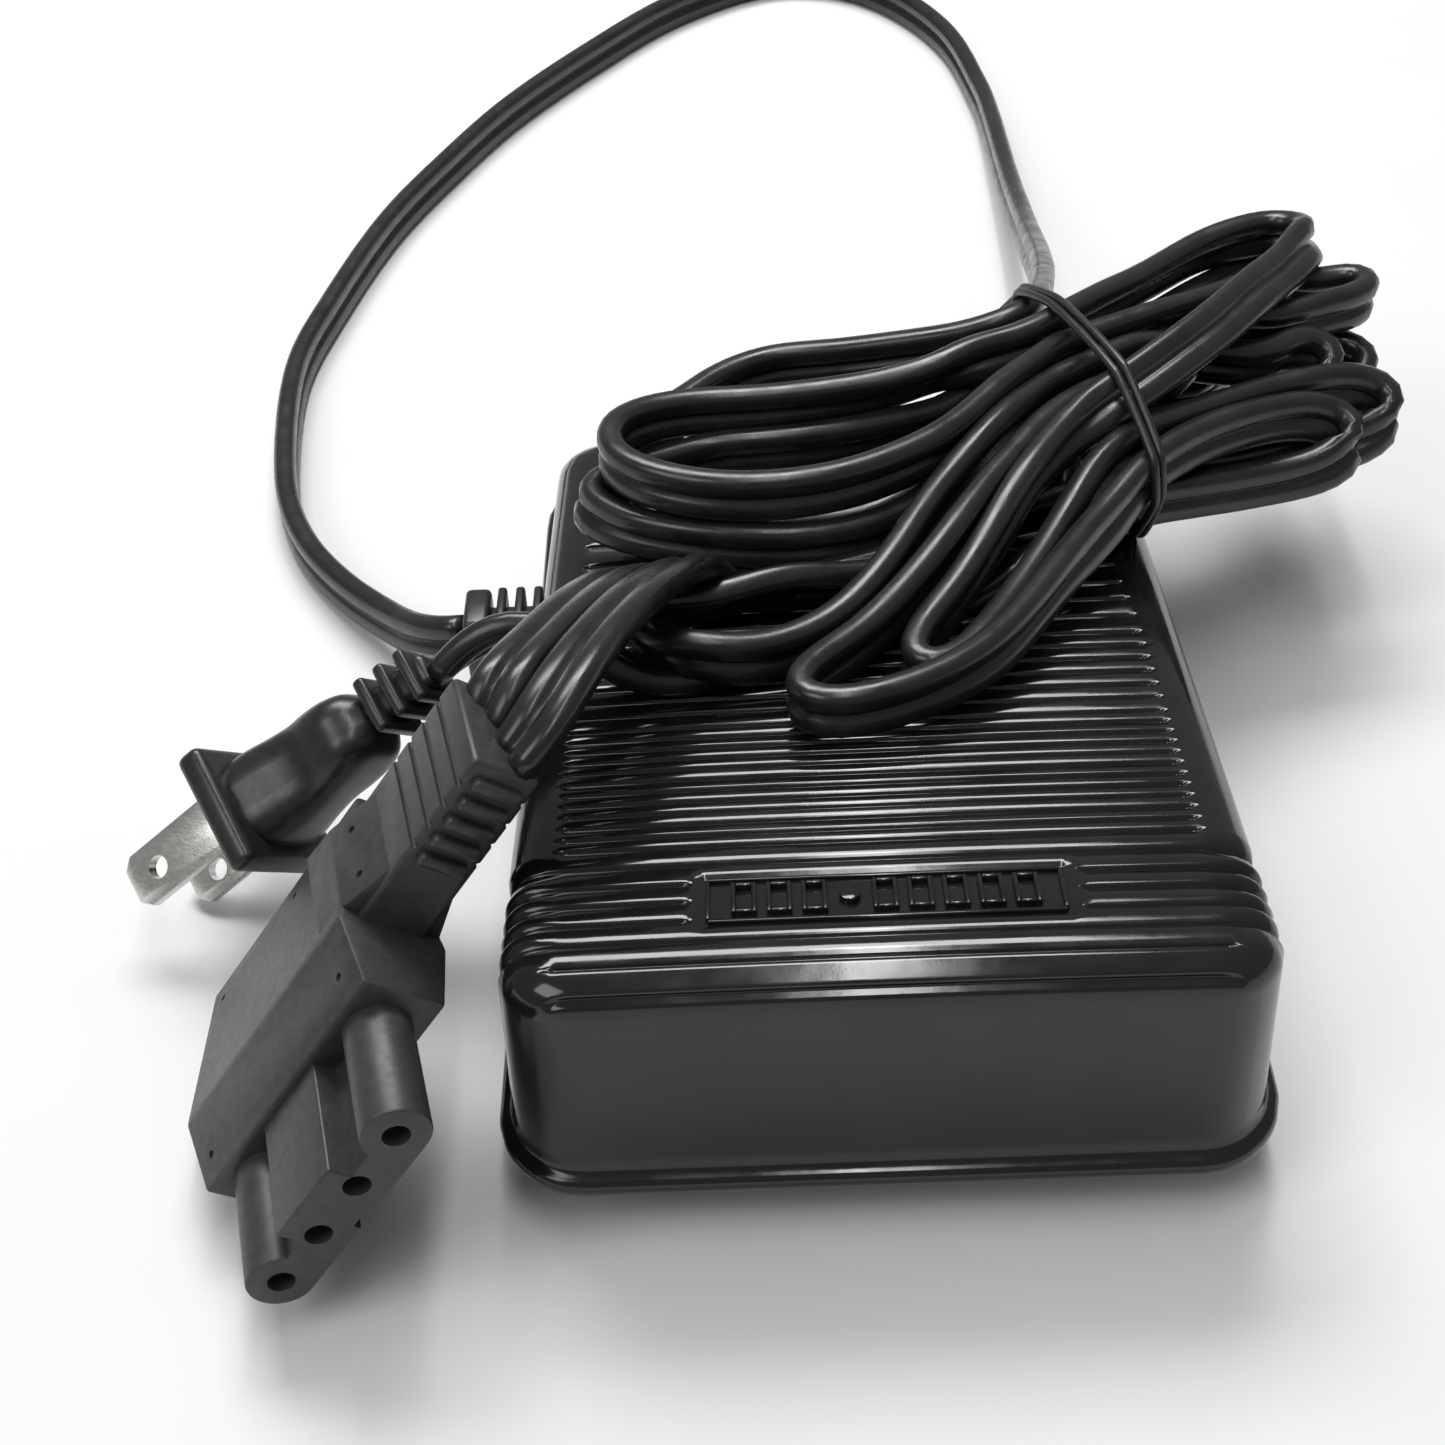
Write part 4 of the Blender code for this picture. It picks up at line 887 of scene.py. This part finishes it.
def build_hinge_lugs():
    """The two plates under the cover that the hinge pin goes through."""
    solids = []
    for side in (-1, 1):
        low, high = LUG_X * side - LUG_HALF, LUG_X * side + LUG_HALF
        solids.append(prism(LUG_SECTION, lambda a, b, t: (t, HINGE_Y + a, b), low, high, 0.4))
    bore = barrel(PIN_BORE, (-40, HINGE_Y, HINGE_Z), (40, HINGE_Y, HINGE_Z), 32, 0)
    return set_in_place(moulded("hinge_lugs", solids, [bore]))


LABEL_MARKS = 9
LABEL_PITCH = 4.1
LABEL_DOT = 3  # which mark is the round dot
LABEL_FRAME = 0.55
LABEL_BAR = 0.6


def build_label():
    """Raised marks in the recess: a frame, plain block outlines and one round dot, with no lettering."""
    half_x, half_y = LABEL_HALF[0] - 0.9, LABEL_HALF[1] - 0.8
    solids = []
    for side in (-1, 1):
        solids.append(rounded_box((2 * half_x, LABEL_FRAME, 0.8), (0, side * half_y, 0), 0.16))
        solids.append(rounded_box((LABEL_FRAME, 2 * half_y - 0.7, 0.8), (side * half_x, 0, 0), 0.16))
    for number in range(LABEL_MARKS):
        x = (number - (LABEL_MARKS - 1) / 2) * LABEL_PITCH
        if number == LABEL_DOT:
            solids.append(barrel(1.25, (x, 0, -0.4), (x, 0, 0.75), 32, 0.3))
            continue
        for side in (-1, 1):
            solids.append(rounded_box((LABEL_BAR, 5.4, 1.5), (x + 1.2 * side, 0, 0), 0.2))
            solids.append(rounded_box((1.9, LABEL_BAR, 1.5), (x, 2.4 * side, 0), 0.2))
    label = gathered("label_bars", solids)
    floor = cover_top(LABEL_Y) - LABEL_DEPTH - CROWN * 0.35 + 0.1
    return set_in_place(label, (0, LABEL_Y, floor), (-8, 0, 0))


# -------- strain relief, plug and connector

RELIEF_PLACE = (0, 30, 12)
RELIEF_RIB = (8.9, 12.3)


def build_relief():
    """The pedal lead's flat strain relief with its end block and ribs."""
    solids = [rounded_box((24.5, 5.4, 8.2), (-45.6, 0, 0), 1.2)]
    solids.append(rounded_box((4, *RELIEF_RIB), (-56, 0, 0), 0.9))
    for k in range(3):
        solids.append(rounded_box((1.4, *RELIEF_RIB), (-52.35 + 2.75 * k, 0, 0), 0.5))
    solids.append(rounded_box((2.4, 10, 10), (-35.0, 0, 0), 0.5))
    return set_in_place(moulded("relief_moulding", solids), RELIEF_PLACE)


PLUG_PLACE = (-84.2, -13.5, 16.5)
PLUG_TURN = (-57.8, -37.2, 10.1)
BLADE_Y = 6.35
BLADE_HALF_THICK = 0.75
BLADE_ROOT, BLADE_TIP = 2.6, -16.8
BLADE_CHAMFER = (1.6, 1.5)
BLADE_HOLE_X, BLADE_HOLE_RADIUS = -11.7, 1.6
PLUG_SEAM = 0.22

# The plug's body as (distance from the face, half width, half depth)
PLUG_STATIONS = (
    (2.6, 7.6, 7.0),
    (4.4, 7.6, 7.0),
    (7.0, 7.0, 6.9),
    (10.5, 5.9, 6.5),
    (14.0, 5.6, 6.1),
    (17.5, 6.3, 5.9),
    (20.5, 6.5, 5.5),
    (23.0, 5.5, 4.8),
    (24.6, 4.0, 3.4),
    (25.4, 3.0, 2.4),
)


def build_plug():
    """The plug's flange, its waisted body with a parting line, and the ribbed end."""
    solids = [
        rounded_box((4.1, 21, 18.3), (2.05, 0, 0), 1.3, 4),
        loft(smooth_curve(np.array(PLUG_STATIONS), 5), PLUG_SEAM),
        rounded_box((13.4, 6.4, 5.0), (29.4, 0, 0), 1.2),
    ]
    for x, half_y, half_z in ((26.9, 5.0, 4.1), (30.3, 4.8, 4.0), (33.7, 4.6, 3.9)):
        solids.append(rounded_box((1.9, 2 * half_y, 2 * half_z), (x, 0, 0), 0.7))
    seats = [rounded_box((5.4, 2.1, 7.0 + 1.6 * (y < 0)), (0, y, 0), 0.1) for y in (-BLADE_Y, BLADE_Y)]
    return set_in_place(moulded("plug_moulding", solids, seats), PLUG_PLACE, PLUG_TURN)


def build_blade(name, y, width):
    """A flat blade with a round hole and a chamfered tip."""
    half = width / 2
    shoulder, tip_half = BLADE_TIP + BLADE_CHAMFER[0], half - BLADE_CHAMFER[1]
    outline = [(BLADE_ROOT, -half), (BLADE_ROOT, half), (shoulder, half), (BLADE_TIP, tip_half)]
    outline += [(BLADE_TIP, -tip_half), (shoulder, -half)]
    blade = prism(outline, lambda a, b, t: (a, y + t, b), -BLADE_HALF_THICK, BLADE_HALF_THICK, 0.16)
    hole = barrel(BLADE_HOLE_RADIUS, (BLADE_HOLE_X, y - 2, 0), (BLADE_HOLE_X, y + 2, 0), 40, 0)
    return set_in_place(moulded(name, [blade], [hole]), PLUG_PLACE, PLUG_TURN)


CONNECTOR_PLACE = (-63.3, -81.8, 20.6)
CONNECTOR_TURN = (177.4, -51.4, 15.6)
SOCKET_PITCH = 8.7
SOCKET_BORE = 1.65
BARREL_RADIUS = 4.15
BARREL_LENGTH = 19.2

# The head's and the neck's outlines, with (place, half thickness) going away from the sockets and the head
HEAD_PROFILE = ((-16.2, 5.5), (-26.3, 7.4), (-50.9, 1.6))
NECK_PROFILE = ((14, 7.0), (19.4, 6.7), (27.0, 4.5))
HEAD_SPAN = (-18.6, 19.4)
NECK_SPAN = (-42, -28)

# Small round marks that the mould leaves, and how deep they are
PIPS = ((-15.5, -19.5), (15.8, -20.0), (-15.0, -47.0), (4.0, -47.5), (22.5, -31.0), (22.5, -39.0))
PIP_RADIUS = 0.5
PIP_DEPTH = 0.35
NECK_FROM = 20


def mirrored(profile):
    """The closed section with the profile above and below its middle."""
    return [*profile, *((a, -b) for a, b in profile[::-1])]


def along_x(a, b, t):
    """A place for prism(): the section lies in Y and Z."""
    return (t, a, b)


def along_y(a, b, t):
    """A place for prism(): the section lies in X and Z."""
    return (a, t, b)


def build_connector():
    """The right-angle connector: wedge-shaped head, ribbed grip, two barrels, and a block between them."""
    solids = [
        prism(mirrored(HEAD_PROFILE), along_x, *HEAD_SPAN, 0.55),
        prism(mirrored(NECK_PROFILE), along_y, *NECK_SPAN, 0.4),
        rounded_box((31.4, 15.9, 9.06), (29.7, -35.05, 0), 0.7),
        rounded_box((26.1, BARREL_LENGTH, 5.5), (0, -BARREL_LENGTH / 2, 1.4), 0.35),
        rounded_box((11.8, BARREL_LENGTH, 5.2), (-0.3, -BARREL_LENGTH / 2, -1.8), 0.35),
    ]
    sockets = [k * SOCKET_PITCH for k in (-1.5, -0.5, 0.5, 1.5)]
    for x in (sockets[0], sockets[-1]):
        solids.append(barrel(BARREL_RADIUS, (x, -BARREL_LENGTH, 0), (x, 0, 0), 56, 0.35))
    for k in range(5):
        solids.append(rounded_box((1.7, 2.4, 6.4), (30.6 + 3.0 * k, -27.0, 0), 0.6))
    cuts = [barrel(SOCKET_BORE, (x, -17, 0), (x, 1, 0), 40, 0) for x in sockets]
    cuts.append(rounded_box((3.4, 14, 3), (-0.2, -5.6, 4.6), 0.3))
    for k in range(4):
        for side in (-1, 1):
            cuts.append(rounded_box((0.9, 24, 1.6), (31.7 + 3.3 * k, -36.5, side * 4.7), 0.25))
    for x, y in PIPS:
        start = 9.4 if x < NECK_FROM else 7.9
        cuts.append(barrel(PIP_RADIUS, (x, y, -start), (x, y, -pip_bottom(x, y)), 20, 0))
    return set_in_place(moulded("connector_moulding", solids, cuts, 32), CONNECTOR_PLACE, CONNECTOR_TURN)


def pip_bottom(x, y):
    """How far from the middle plane the bottom of a moulding pip is, just inside the surface."""
    if x > NECK_FROM:
        half = np.interp(x, *zip(*NECK_PROFILE))
    else:
        half = np.interp(-y, [-a for a, _ in HEAD_PROFILE], [b for _, b in HEAD_PROFILE])
    return float(half) - PIP_DEPTH


# -------- tie round the hank

WIRE_RADIUS = 0.65
TIE_REACH = 32  # no cord further than this from the tie's middle passes through it
TIE_SLICE = 1.2  # how far along the hank a turn feels the cords
TIE_GAP = 0.15

# How far the second turn is from the first, along the hank and out from it
TURN_PITCH, TURN_LIFT = 1.5, 0.1

# The twisted ends: their length, half turns, distance from the line between them, and radius
END_LENGTH, END_TWISTS, END_SPREAD, END_RADIUS = 7, 5.5, 0.68, 0.6


def tube_mesh(line, radius, sides=14, closed=False):
    """A round tube along the points, closed on itself or with capped ends."""
    along = unit(np.roll(line, -1, axis=0) - np.roll(line, 1, axis=0)) if closed else tangents(line)
    bm = bmesh.new()
    across = np.cross(along[0], (0.3, 0.2, 0.9))
    rings = []
    angles = [2 * math.pi * k / sides for k in range(sides)]
    for centre, way in zip(line, along):
        across = unit(across - across.dot(way) * way)
        other = np.cross(way, across)
        spokes = [math.cos(a) * across + math.sin(a) * other for a in angles]
        rings.append([bm.verts.new(centre + radius * spoke) for spoke in spokes])
    if not closed:
        skin_over(bm, rings)
        return bm
    for low, high in zip(rings, rings[1:]):
        join_rings(bm, low, high)
    gaps = [(vert.co - rings[-1][0].co).length for vert in rings[0]]
    offset = gaps.index(min(gaps))
    join_rings(bm, rings[-1], rings[0][offset:] + rings[0][:offset])
    return bm


def ring_round(rails, spread, lift):
    """A tight closed loop round everything that passes through the tie."""
    close = np.linalg.norm(rails - TIE_MIDDLE, axis=1) < TIE_REACH
    near = rails[close & (np.abs((rails - TIE_MIDDLE) @ TIE_ALONG - spread) < TIE_SLICE)]
    flat = np.stack([(near - TIE_MIDDLE) @ TIE_ACROSS, (near - TIE_MIDDLE) @ TIE_THICK], axis=1)
    angles = np.linspace(0, 2 * math.pi, 120, endpoint=False)
    ways = np.stack([np.cos(angles), np.sin(angles)], axis=1)
    reach = (flat @ ways.T).max(axis=0) + CORE + WIRE_RADIUS + TIE_GAP + lift
    for _ in range(3):
        reach = (np.roll(reach, 1) + 2 * reach + np.roll(reach, -1)) / 4
    change = (np.roll(reach, -1) - np.roll(reach, 1)) / (2 * angles[1])
    ring = reach[:, None] * ways + change[:, None] * np.stack([-ways[:, 1], ways[:, 0]], axis=1)
    return TIE_MIDDLE + spread * TIE_ALONG + ring[:, :1] * TIE_ACROSS + ring[:, 1:] * TIE_THICK


def build_tie():
    """A thin plastic-coated wire: two turns round the hank, and its twisted ends at the far side."""
    rails = np.vstack([rail for pair in settled for rail in pair])
    first = ring_round(rails, 0.0, 0.0)
    second = ring_round(rails, TURN_PITCH, TURN_LIFT)
    solids = [tube_mesh(loop, WIRE_RADIUS, closed=True) for loop in (first, second)]
    start = first[np.argmax((first - TIE_MIDDLE) @ TIE_ACROSS)] + 0.5 * TURN_PITCH * TIE_ALONG
    steps = np.linspace(0, 1, 40)
    way = unit(0.5 * TIE_ACROSS - 0.2 * TIE_ALONG - TIE_THICK)
    for side in (0, math.pi):
        angles = END_TWISTS * math.pi * steps + side
        swing = np.cos(angles)[:, None] * TIE_ALONG + np.sin(angles)[:, None] * TIE_THICK
        line = start + END_LENGTH * steps[:, None] * way + END_SPREAD * swing
        solids.append(tube_mesh(line, END_RADIUS))
    return set_in_place(gathered("tie_wire", solids))


# -------- return springs

SPRING_WIRE = 0.45
SPRING_TURNS = 6
SPRING_CLOSING = 0.11  # how much closer the turns are at the ends


def build_spring(name, node):
    """A coil spring with closed ends where the CAD node stands."""
    low, high = (np.array(corner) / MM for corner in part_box(node))
    middle = (low + high) / 2
    radius = (high[0] - low[0]) / 2 - SPRING_WIRE
    share = np.linspace(0, 1, 36 * SPRING_TURNS + 1)
    rise = share - SPRING_CLOSING * np.sin(2 * math.pi * share)
    angle = 2 * math.pi * SPRING_TURNS * share
    height = low[2] + SPRING_WIRE + (high[2] - low[2] - 2 * SPRING_WIRE) * rise
    x, y = middle[0] + radius * np.cos(angle), middle[1] + radius * np.sin(angle)
    line = np.stack([x, y, height], axis=1)
    return set_in_place(gathered(name, [tube_mesh(line, SPRING_WIRE, 10)]))


# -------- materials

RAMP_STOPS = (0.3, 0.7)  # between these values of a noise, a ramp goes from one colour to the other
BRUSH_STRETCH = (1, 1, 12)
SPECK_RELIEF = 0.00002


class Nodes:
    """A Principled material and short calls that add its texture nodes."""

    def __init__(self, name, colour, roughness, metallic=0.0):
        self.material = bpy.data.materials.new(name)
        self.material.use_nodes = True
        self.tree = self.material.node_tree
        self.shader = self.tree.nodes["Principled BSDF"]
        self.shader.inputs["Base Color"].default_value = (*colour, 1)
        self.shader.inputs["Roughness"].default_value = roughness
        self.shader.inputs["Metallic"].default_value = metallic
        self.place = self.tree.nodes.new("ShaderNodeTexCoord").outputs["Object"]
        self.height = None

    def noise(self, scale, detail=3.0, stretch=(1, 1, 1)):
        """Noise of that many features to the metre."""
        mapping = self.tree.nodes.new("ShaderNodeMapping")
        mapping.inputs["Scale"].default_value = stretch
        self.tree.links.new(self.place, mapping.inputs["Vector"])
        noise = self.tree.nodes.new("ShaderNodeTexNoise")
        noise.inputs["Scale"].default_value = scale
        noise.inputs["Detail"].default_value = detail
        self.tree.links.new(mapping.outputs["Vector"], noise.inputs["Vector"])
        return noise.outputs["Fac"]

    def ramp(self, source, low, high):
        """The source mapped from one colour to another."""
        ramp = self.tree.nodes.new("ShaderNodeValToRGB")
        for element, at, colour in zip(ramp.color_ramp.elements, RAMP_STOPS, (low, high)):
            element.position = at
            element.color = (*colour, 1)
        self.tree.links.new(source, ramp.inputs["Fac"])
        return ramp.outputs["Color"]

    def colour(self, source, low, high):
        """The base colour, from low to high with the source."""
        self.tree.links.new(self.ramp(source, low, high), self.shader.inputs["Base Color"])

    def roughness(self, source, low, high):
        """The roughness, from low to high with the source."""
        grey = self.ramp(source, (low,) * 3, (high,) * 3)
        self.tree.links.new(grey, self.shader.inputs["Roughness"])

    def bump(self, source, distance, strength=1.0):
        """Adds relief of that height in metres on top of any before it."""
        bump = self.tree.nodes.new("ShaderNodeBump")
        bump.inputs["Strength"].default_value = strength
        bump.inputs["Distance"].default_value = distance
        self.tree.links.new(source, bump.inputs["Height"])
        if self.height is not None:
            self.tree.links.new(self.height, bump.inputs["Normal"])
        self.height = bump.outputs["Normal"]
        self.tree.links.new(self.height, self.shader.inputs["Normal"])


def gloss_black():
    """Polished moulded plastic with slow waves in its gloss."""
    nodes = Nodes("gloss_black", (0.008, 0.008, 0.009), 0.1)
    nodes.colour(nodes.noise(90), (0.006, 0.006, 0.007), (0.011, 0.011, 0.012))
    nodes.roughness(nodes.noise(160, 4), 0.07, 0.17)
    nodes.bump(nodes.noise(140, 2), 0.00008, 0.35)
    nodes.bump(nodes.noise(2600, 2), 0.00001, 0.25)
    return nodes.material


def cord_black():
    """The soft sheath of a cord."""
    nodes = Nodes("cord_black", (0.012, 0.012, 0.013), 0.25)
    nodes.colour(nodes.noise(120), (0.009, 0.009, 0.010), (0.017, 0.017, 0.018))
    nodes.roughness(nodes.noise(260, 4), 0.2, 0.36)
    nodes.bump(nodes.noise(420, 2), 0.00006, 0.3)
    nodes.bump(nodes.noise(3200, 2), 0.000015, 0.35)
    return nodes.material


def satin_black(name, low, high, rough, grain):
    """Moulded plastic or rubber with a fine grain of that height in metres."""
    nodes = Nodes(name, low, rough)
    nodes.colour(nodes.noise(700, 5), low, high)
    nodes.roughness(nodes.noise(900, 4), rough - 0.03, rough + 0.06)
    nodes.bump(nodes.noise(5200, 3), grain, 0.5)
    nodes.bump(nodes.noise(240, 2), 0.00005, 0.25)
    return nodes.material


def brushed(name, low, high, rough):
    """Metal with fine marks along one way."""
    nodes = Nodes(name, low, rough, 1.0)
    nodes.colour(nodes.noise(240, 4), low, high)
    nodes.roughness(nodes.noise(900, 4, BRUSH_STRETCH), rough - 0.06, rough + 0.12)
    nodes.bump(nodes.noise(1500, 3, BRUSH_STRETCH), 0.00001, 0.4)
    return nodes.material


def speckled(name, low, high, rough, scale=900):
    """A solid material with specks of colour."""
    nodes = Nodes(name, low, rough)
    nodes.colour(nodes.noise(scale, 5), low, high)
    nodes.roughness(nodes.noise(scale / 2, 3), rough - 0.06, rough + 0.08)
    nodes.bump(nodes.noise(scale * 2, 3), SPECK_RELIEF, 0.5)
    return nodes.material


FINISHES = {
    "cover_black": gloss_black(),
    "lead_black": cord_black(),
    "base_black": satin_black("base_satin", (0.014, 0.014, 0.015), (0.024, 0.024, 0.025), 0.42, 0.00002),
    "plug_black": satin_black("plug_satin", (0.010, 0.010, 0.011), (0.018, 0.018, 0.019), 0.3, 0.000015),
    "connector_black": satin_black(
        "connector_satin", (0.024, 0.024, 0.025), (0.038, 0.038, 0.039), 0.42, 0.00003
    ),
    "tie_black": satin_black("tie_satin", (0.012, 0.012, 0.012), (0.02, 0.02, 0.02), 0.3, 0.00001),
    "rubber": satin_black("rubber_matt", (0.02, 0.02, 0.02), (0.04, 0.04, 0.04), 0.7, 0.00005),
    "steel": brushed("zinc_steel", (0.42, 0.42, 0.43), (0.6, 0.6, 0.61), 0.3),
    "nickel": brushed("nickel_plate", (0.62, 0.61, 0.58), (0.76, 0.75, 0.72), 0.22),
    "brass": brushed("drawn_brass", (0.62, 0.45, 0.18), (0.78, 0.6, 0.3), 0.28),
    "aluminium": brushed("extruded_aluminium", (0.58, 0.58, 0.6), (0.74, 0.74, 0.76), 0.34),
    "copper": brushed("enamelled_copper", (0.6, 0.26, 0.12), (0.78, 0.4, 0.24), 0.28),
    "board": speckled("board_resin", (0.24, 0.15, 0.06), (0.36, 0.23, 0.10), 0.5),
    "capacitor_film": speckled("film_case", (0.28, 0.04, 0.025), (0.4, 0.07, 0.04), 0.36, 500),
    "epoxy": speckled("epoxy_case", (0.014, 0.014, 0.014), (0.028, 0.028, 0.028), 0.45, 1400),
    "nylon": speckled("natural_nylon", (0.52, 0.5, 0.42), (0.66, 0.63, 0.54), 0.42, 500),
}


def finish(obj, slot, body):
    """Gives a new piece its finish and the body it moves with."""
    obj.data.materials.clear()
    obj.data.materials.append(FINISHES[slot])
    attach(obj, body)
    return obj


def finish_nodes():
    """Gives every node of the frame the finish of its material slot."""
    for row in frame["record"]["subparts"]:
        node = frame["nodes"][row["node"]]
        node.data.materials.clear()
        node.data.materials.append(FINISHES[row["material_slot"]])


def stand_in(obj, slot, body, *nodes):
    """Finishes a new piece that takes the place of CAD nodes."""
    finish(obj, slot, body)
    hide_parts(*nodes)
    return obj


finish_nodes()
stand_in(build_cover(), "cover_black", "treadle", "treadle_cover")
finish(build_hinge_lugs(), "cover_black", "treadle")
finish(build_label(), "cover_black", "treadle")
relief = stand_in(build_relief(), "plug_black", "base", "strain_relief")
tie_wire = stand_in(build_tie(), "tie_black", "base", "twist_tie")
plug = stand_in(build_plug(), "plug_black", "base", "plug_body")
wide_blade = stand_in(build_blade("blade_wide", -BLADE_Y, 7.9), "nickel", "base", "plug_blade_1")
narrow_blade = stand_in(build_blade("blade_narrow", BLADE_Y, 6.35), "nickel", "base", "plug_blade_2")
connector = stand_in(build_connector(), "connector_black", "base", "connector_body")
for side in ("left", "right"):
    node = f"return_spring_{side}"
    spring = stand_in(build_spring(f"spring_{side}", node), "steel", "base", node)
    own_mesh(spring)

stand_in(pedal_cord, "lead_black", "base", "pedal_lead", "cord_hank", "connector_lead_1")
stand_in(machine_cord, "lead_black", "base", "mains_lead", "connector_lead_2")

# -------- stage and light


def add_stage():
    """The plain pale floor."""
    bpy.ops.mesh.primitive_plane_add(size=4)
    floor = bpy.context.object
    floor.name = "floor"
    nodes = Nodes("floor_white", (0.72, 0.715, 0.72), 0.75)
    nodes.colour(nodes.noise(14, 3), (0.70, 0.695, 0.705), (0.735, 0.73, 0.735))
    floor.data.materials.append(nodes.material)


def add_light(name, place, energy, width, depth):
    """A soft rectangular light in metres and watts, aimed at the origin."""
    data = bpy.data.lights.new(name, "AREA")
    data.energy = energy
    data.shape = "RECTANGLE"
    data.size = width
    data.size_y = depth
    light = bpy.data.objects.new(name, data)
    light.location = place
    light.rotation_euler = (Vector() - Vector(place)).to_track_quat("-Z", "Y").to_euler()
    bpy.context.scene.collection.objects.link(light)


def add_world(strength):
    """Even white light from all round."""
    world = bpy.data.worlds.new("world")
    world.use_nodes = True
    world.node_tree.nodes["Background"].inputs["Color"].default_value = (1, 1, 1, 1)
    world.node_tree.nodes["Background"].inputs["Strength"].default_value = strength
    bpy.context.scene.world = world


add_stage()
add_world(0.26)
add_light("key", (-0.12, 0.55, 0.95), 9.5, 0.7, 0.35)
add_light("top", (0.05, 0.0, 1.15), 5.0, 1.3, 0.07)
add_light("fill", (-0.6, -0.45, 0.8), 3.0, 0.5, 0.5)
bpy.context.scene.view_settings.view_transform = "Standard"
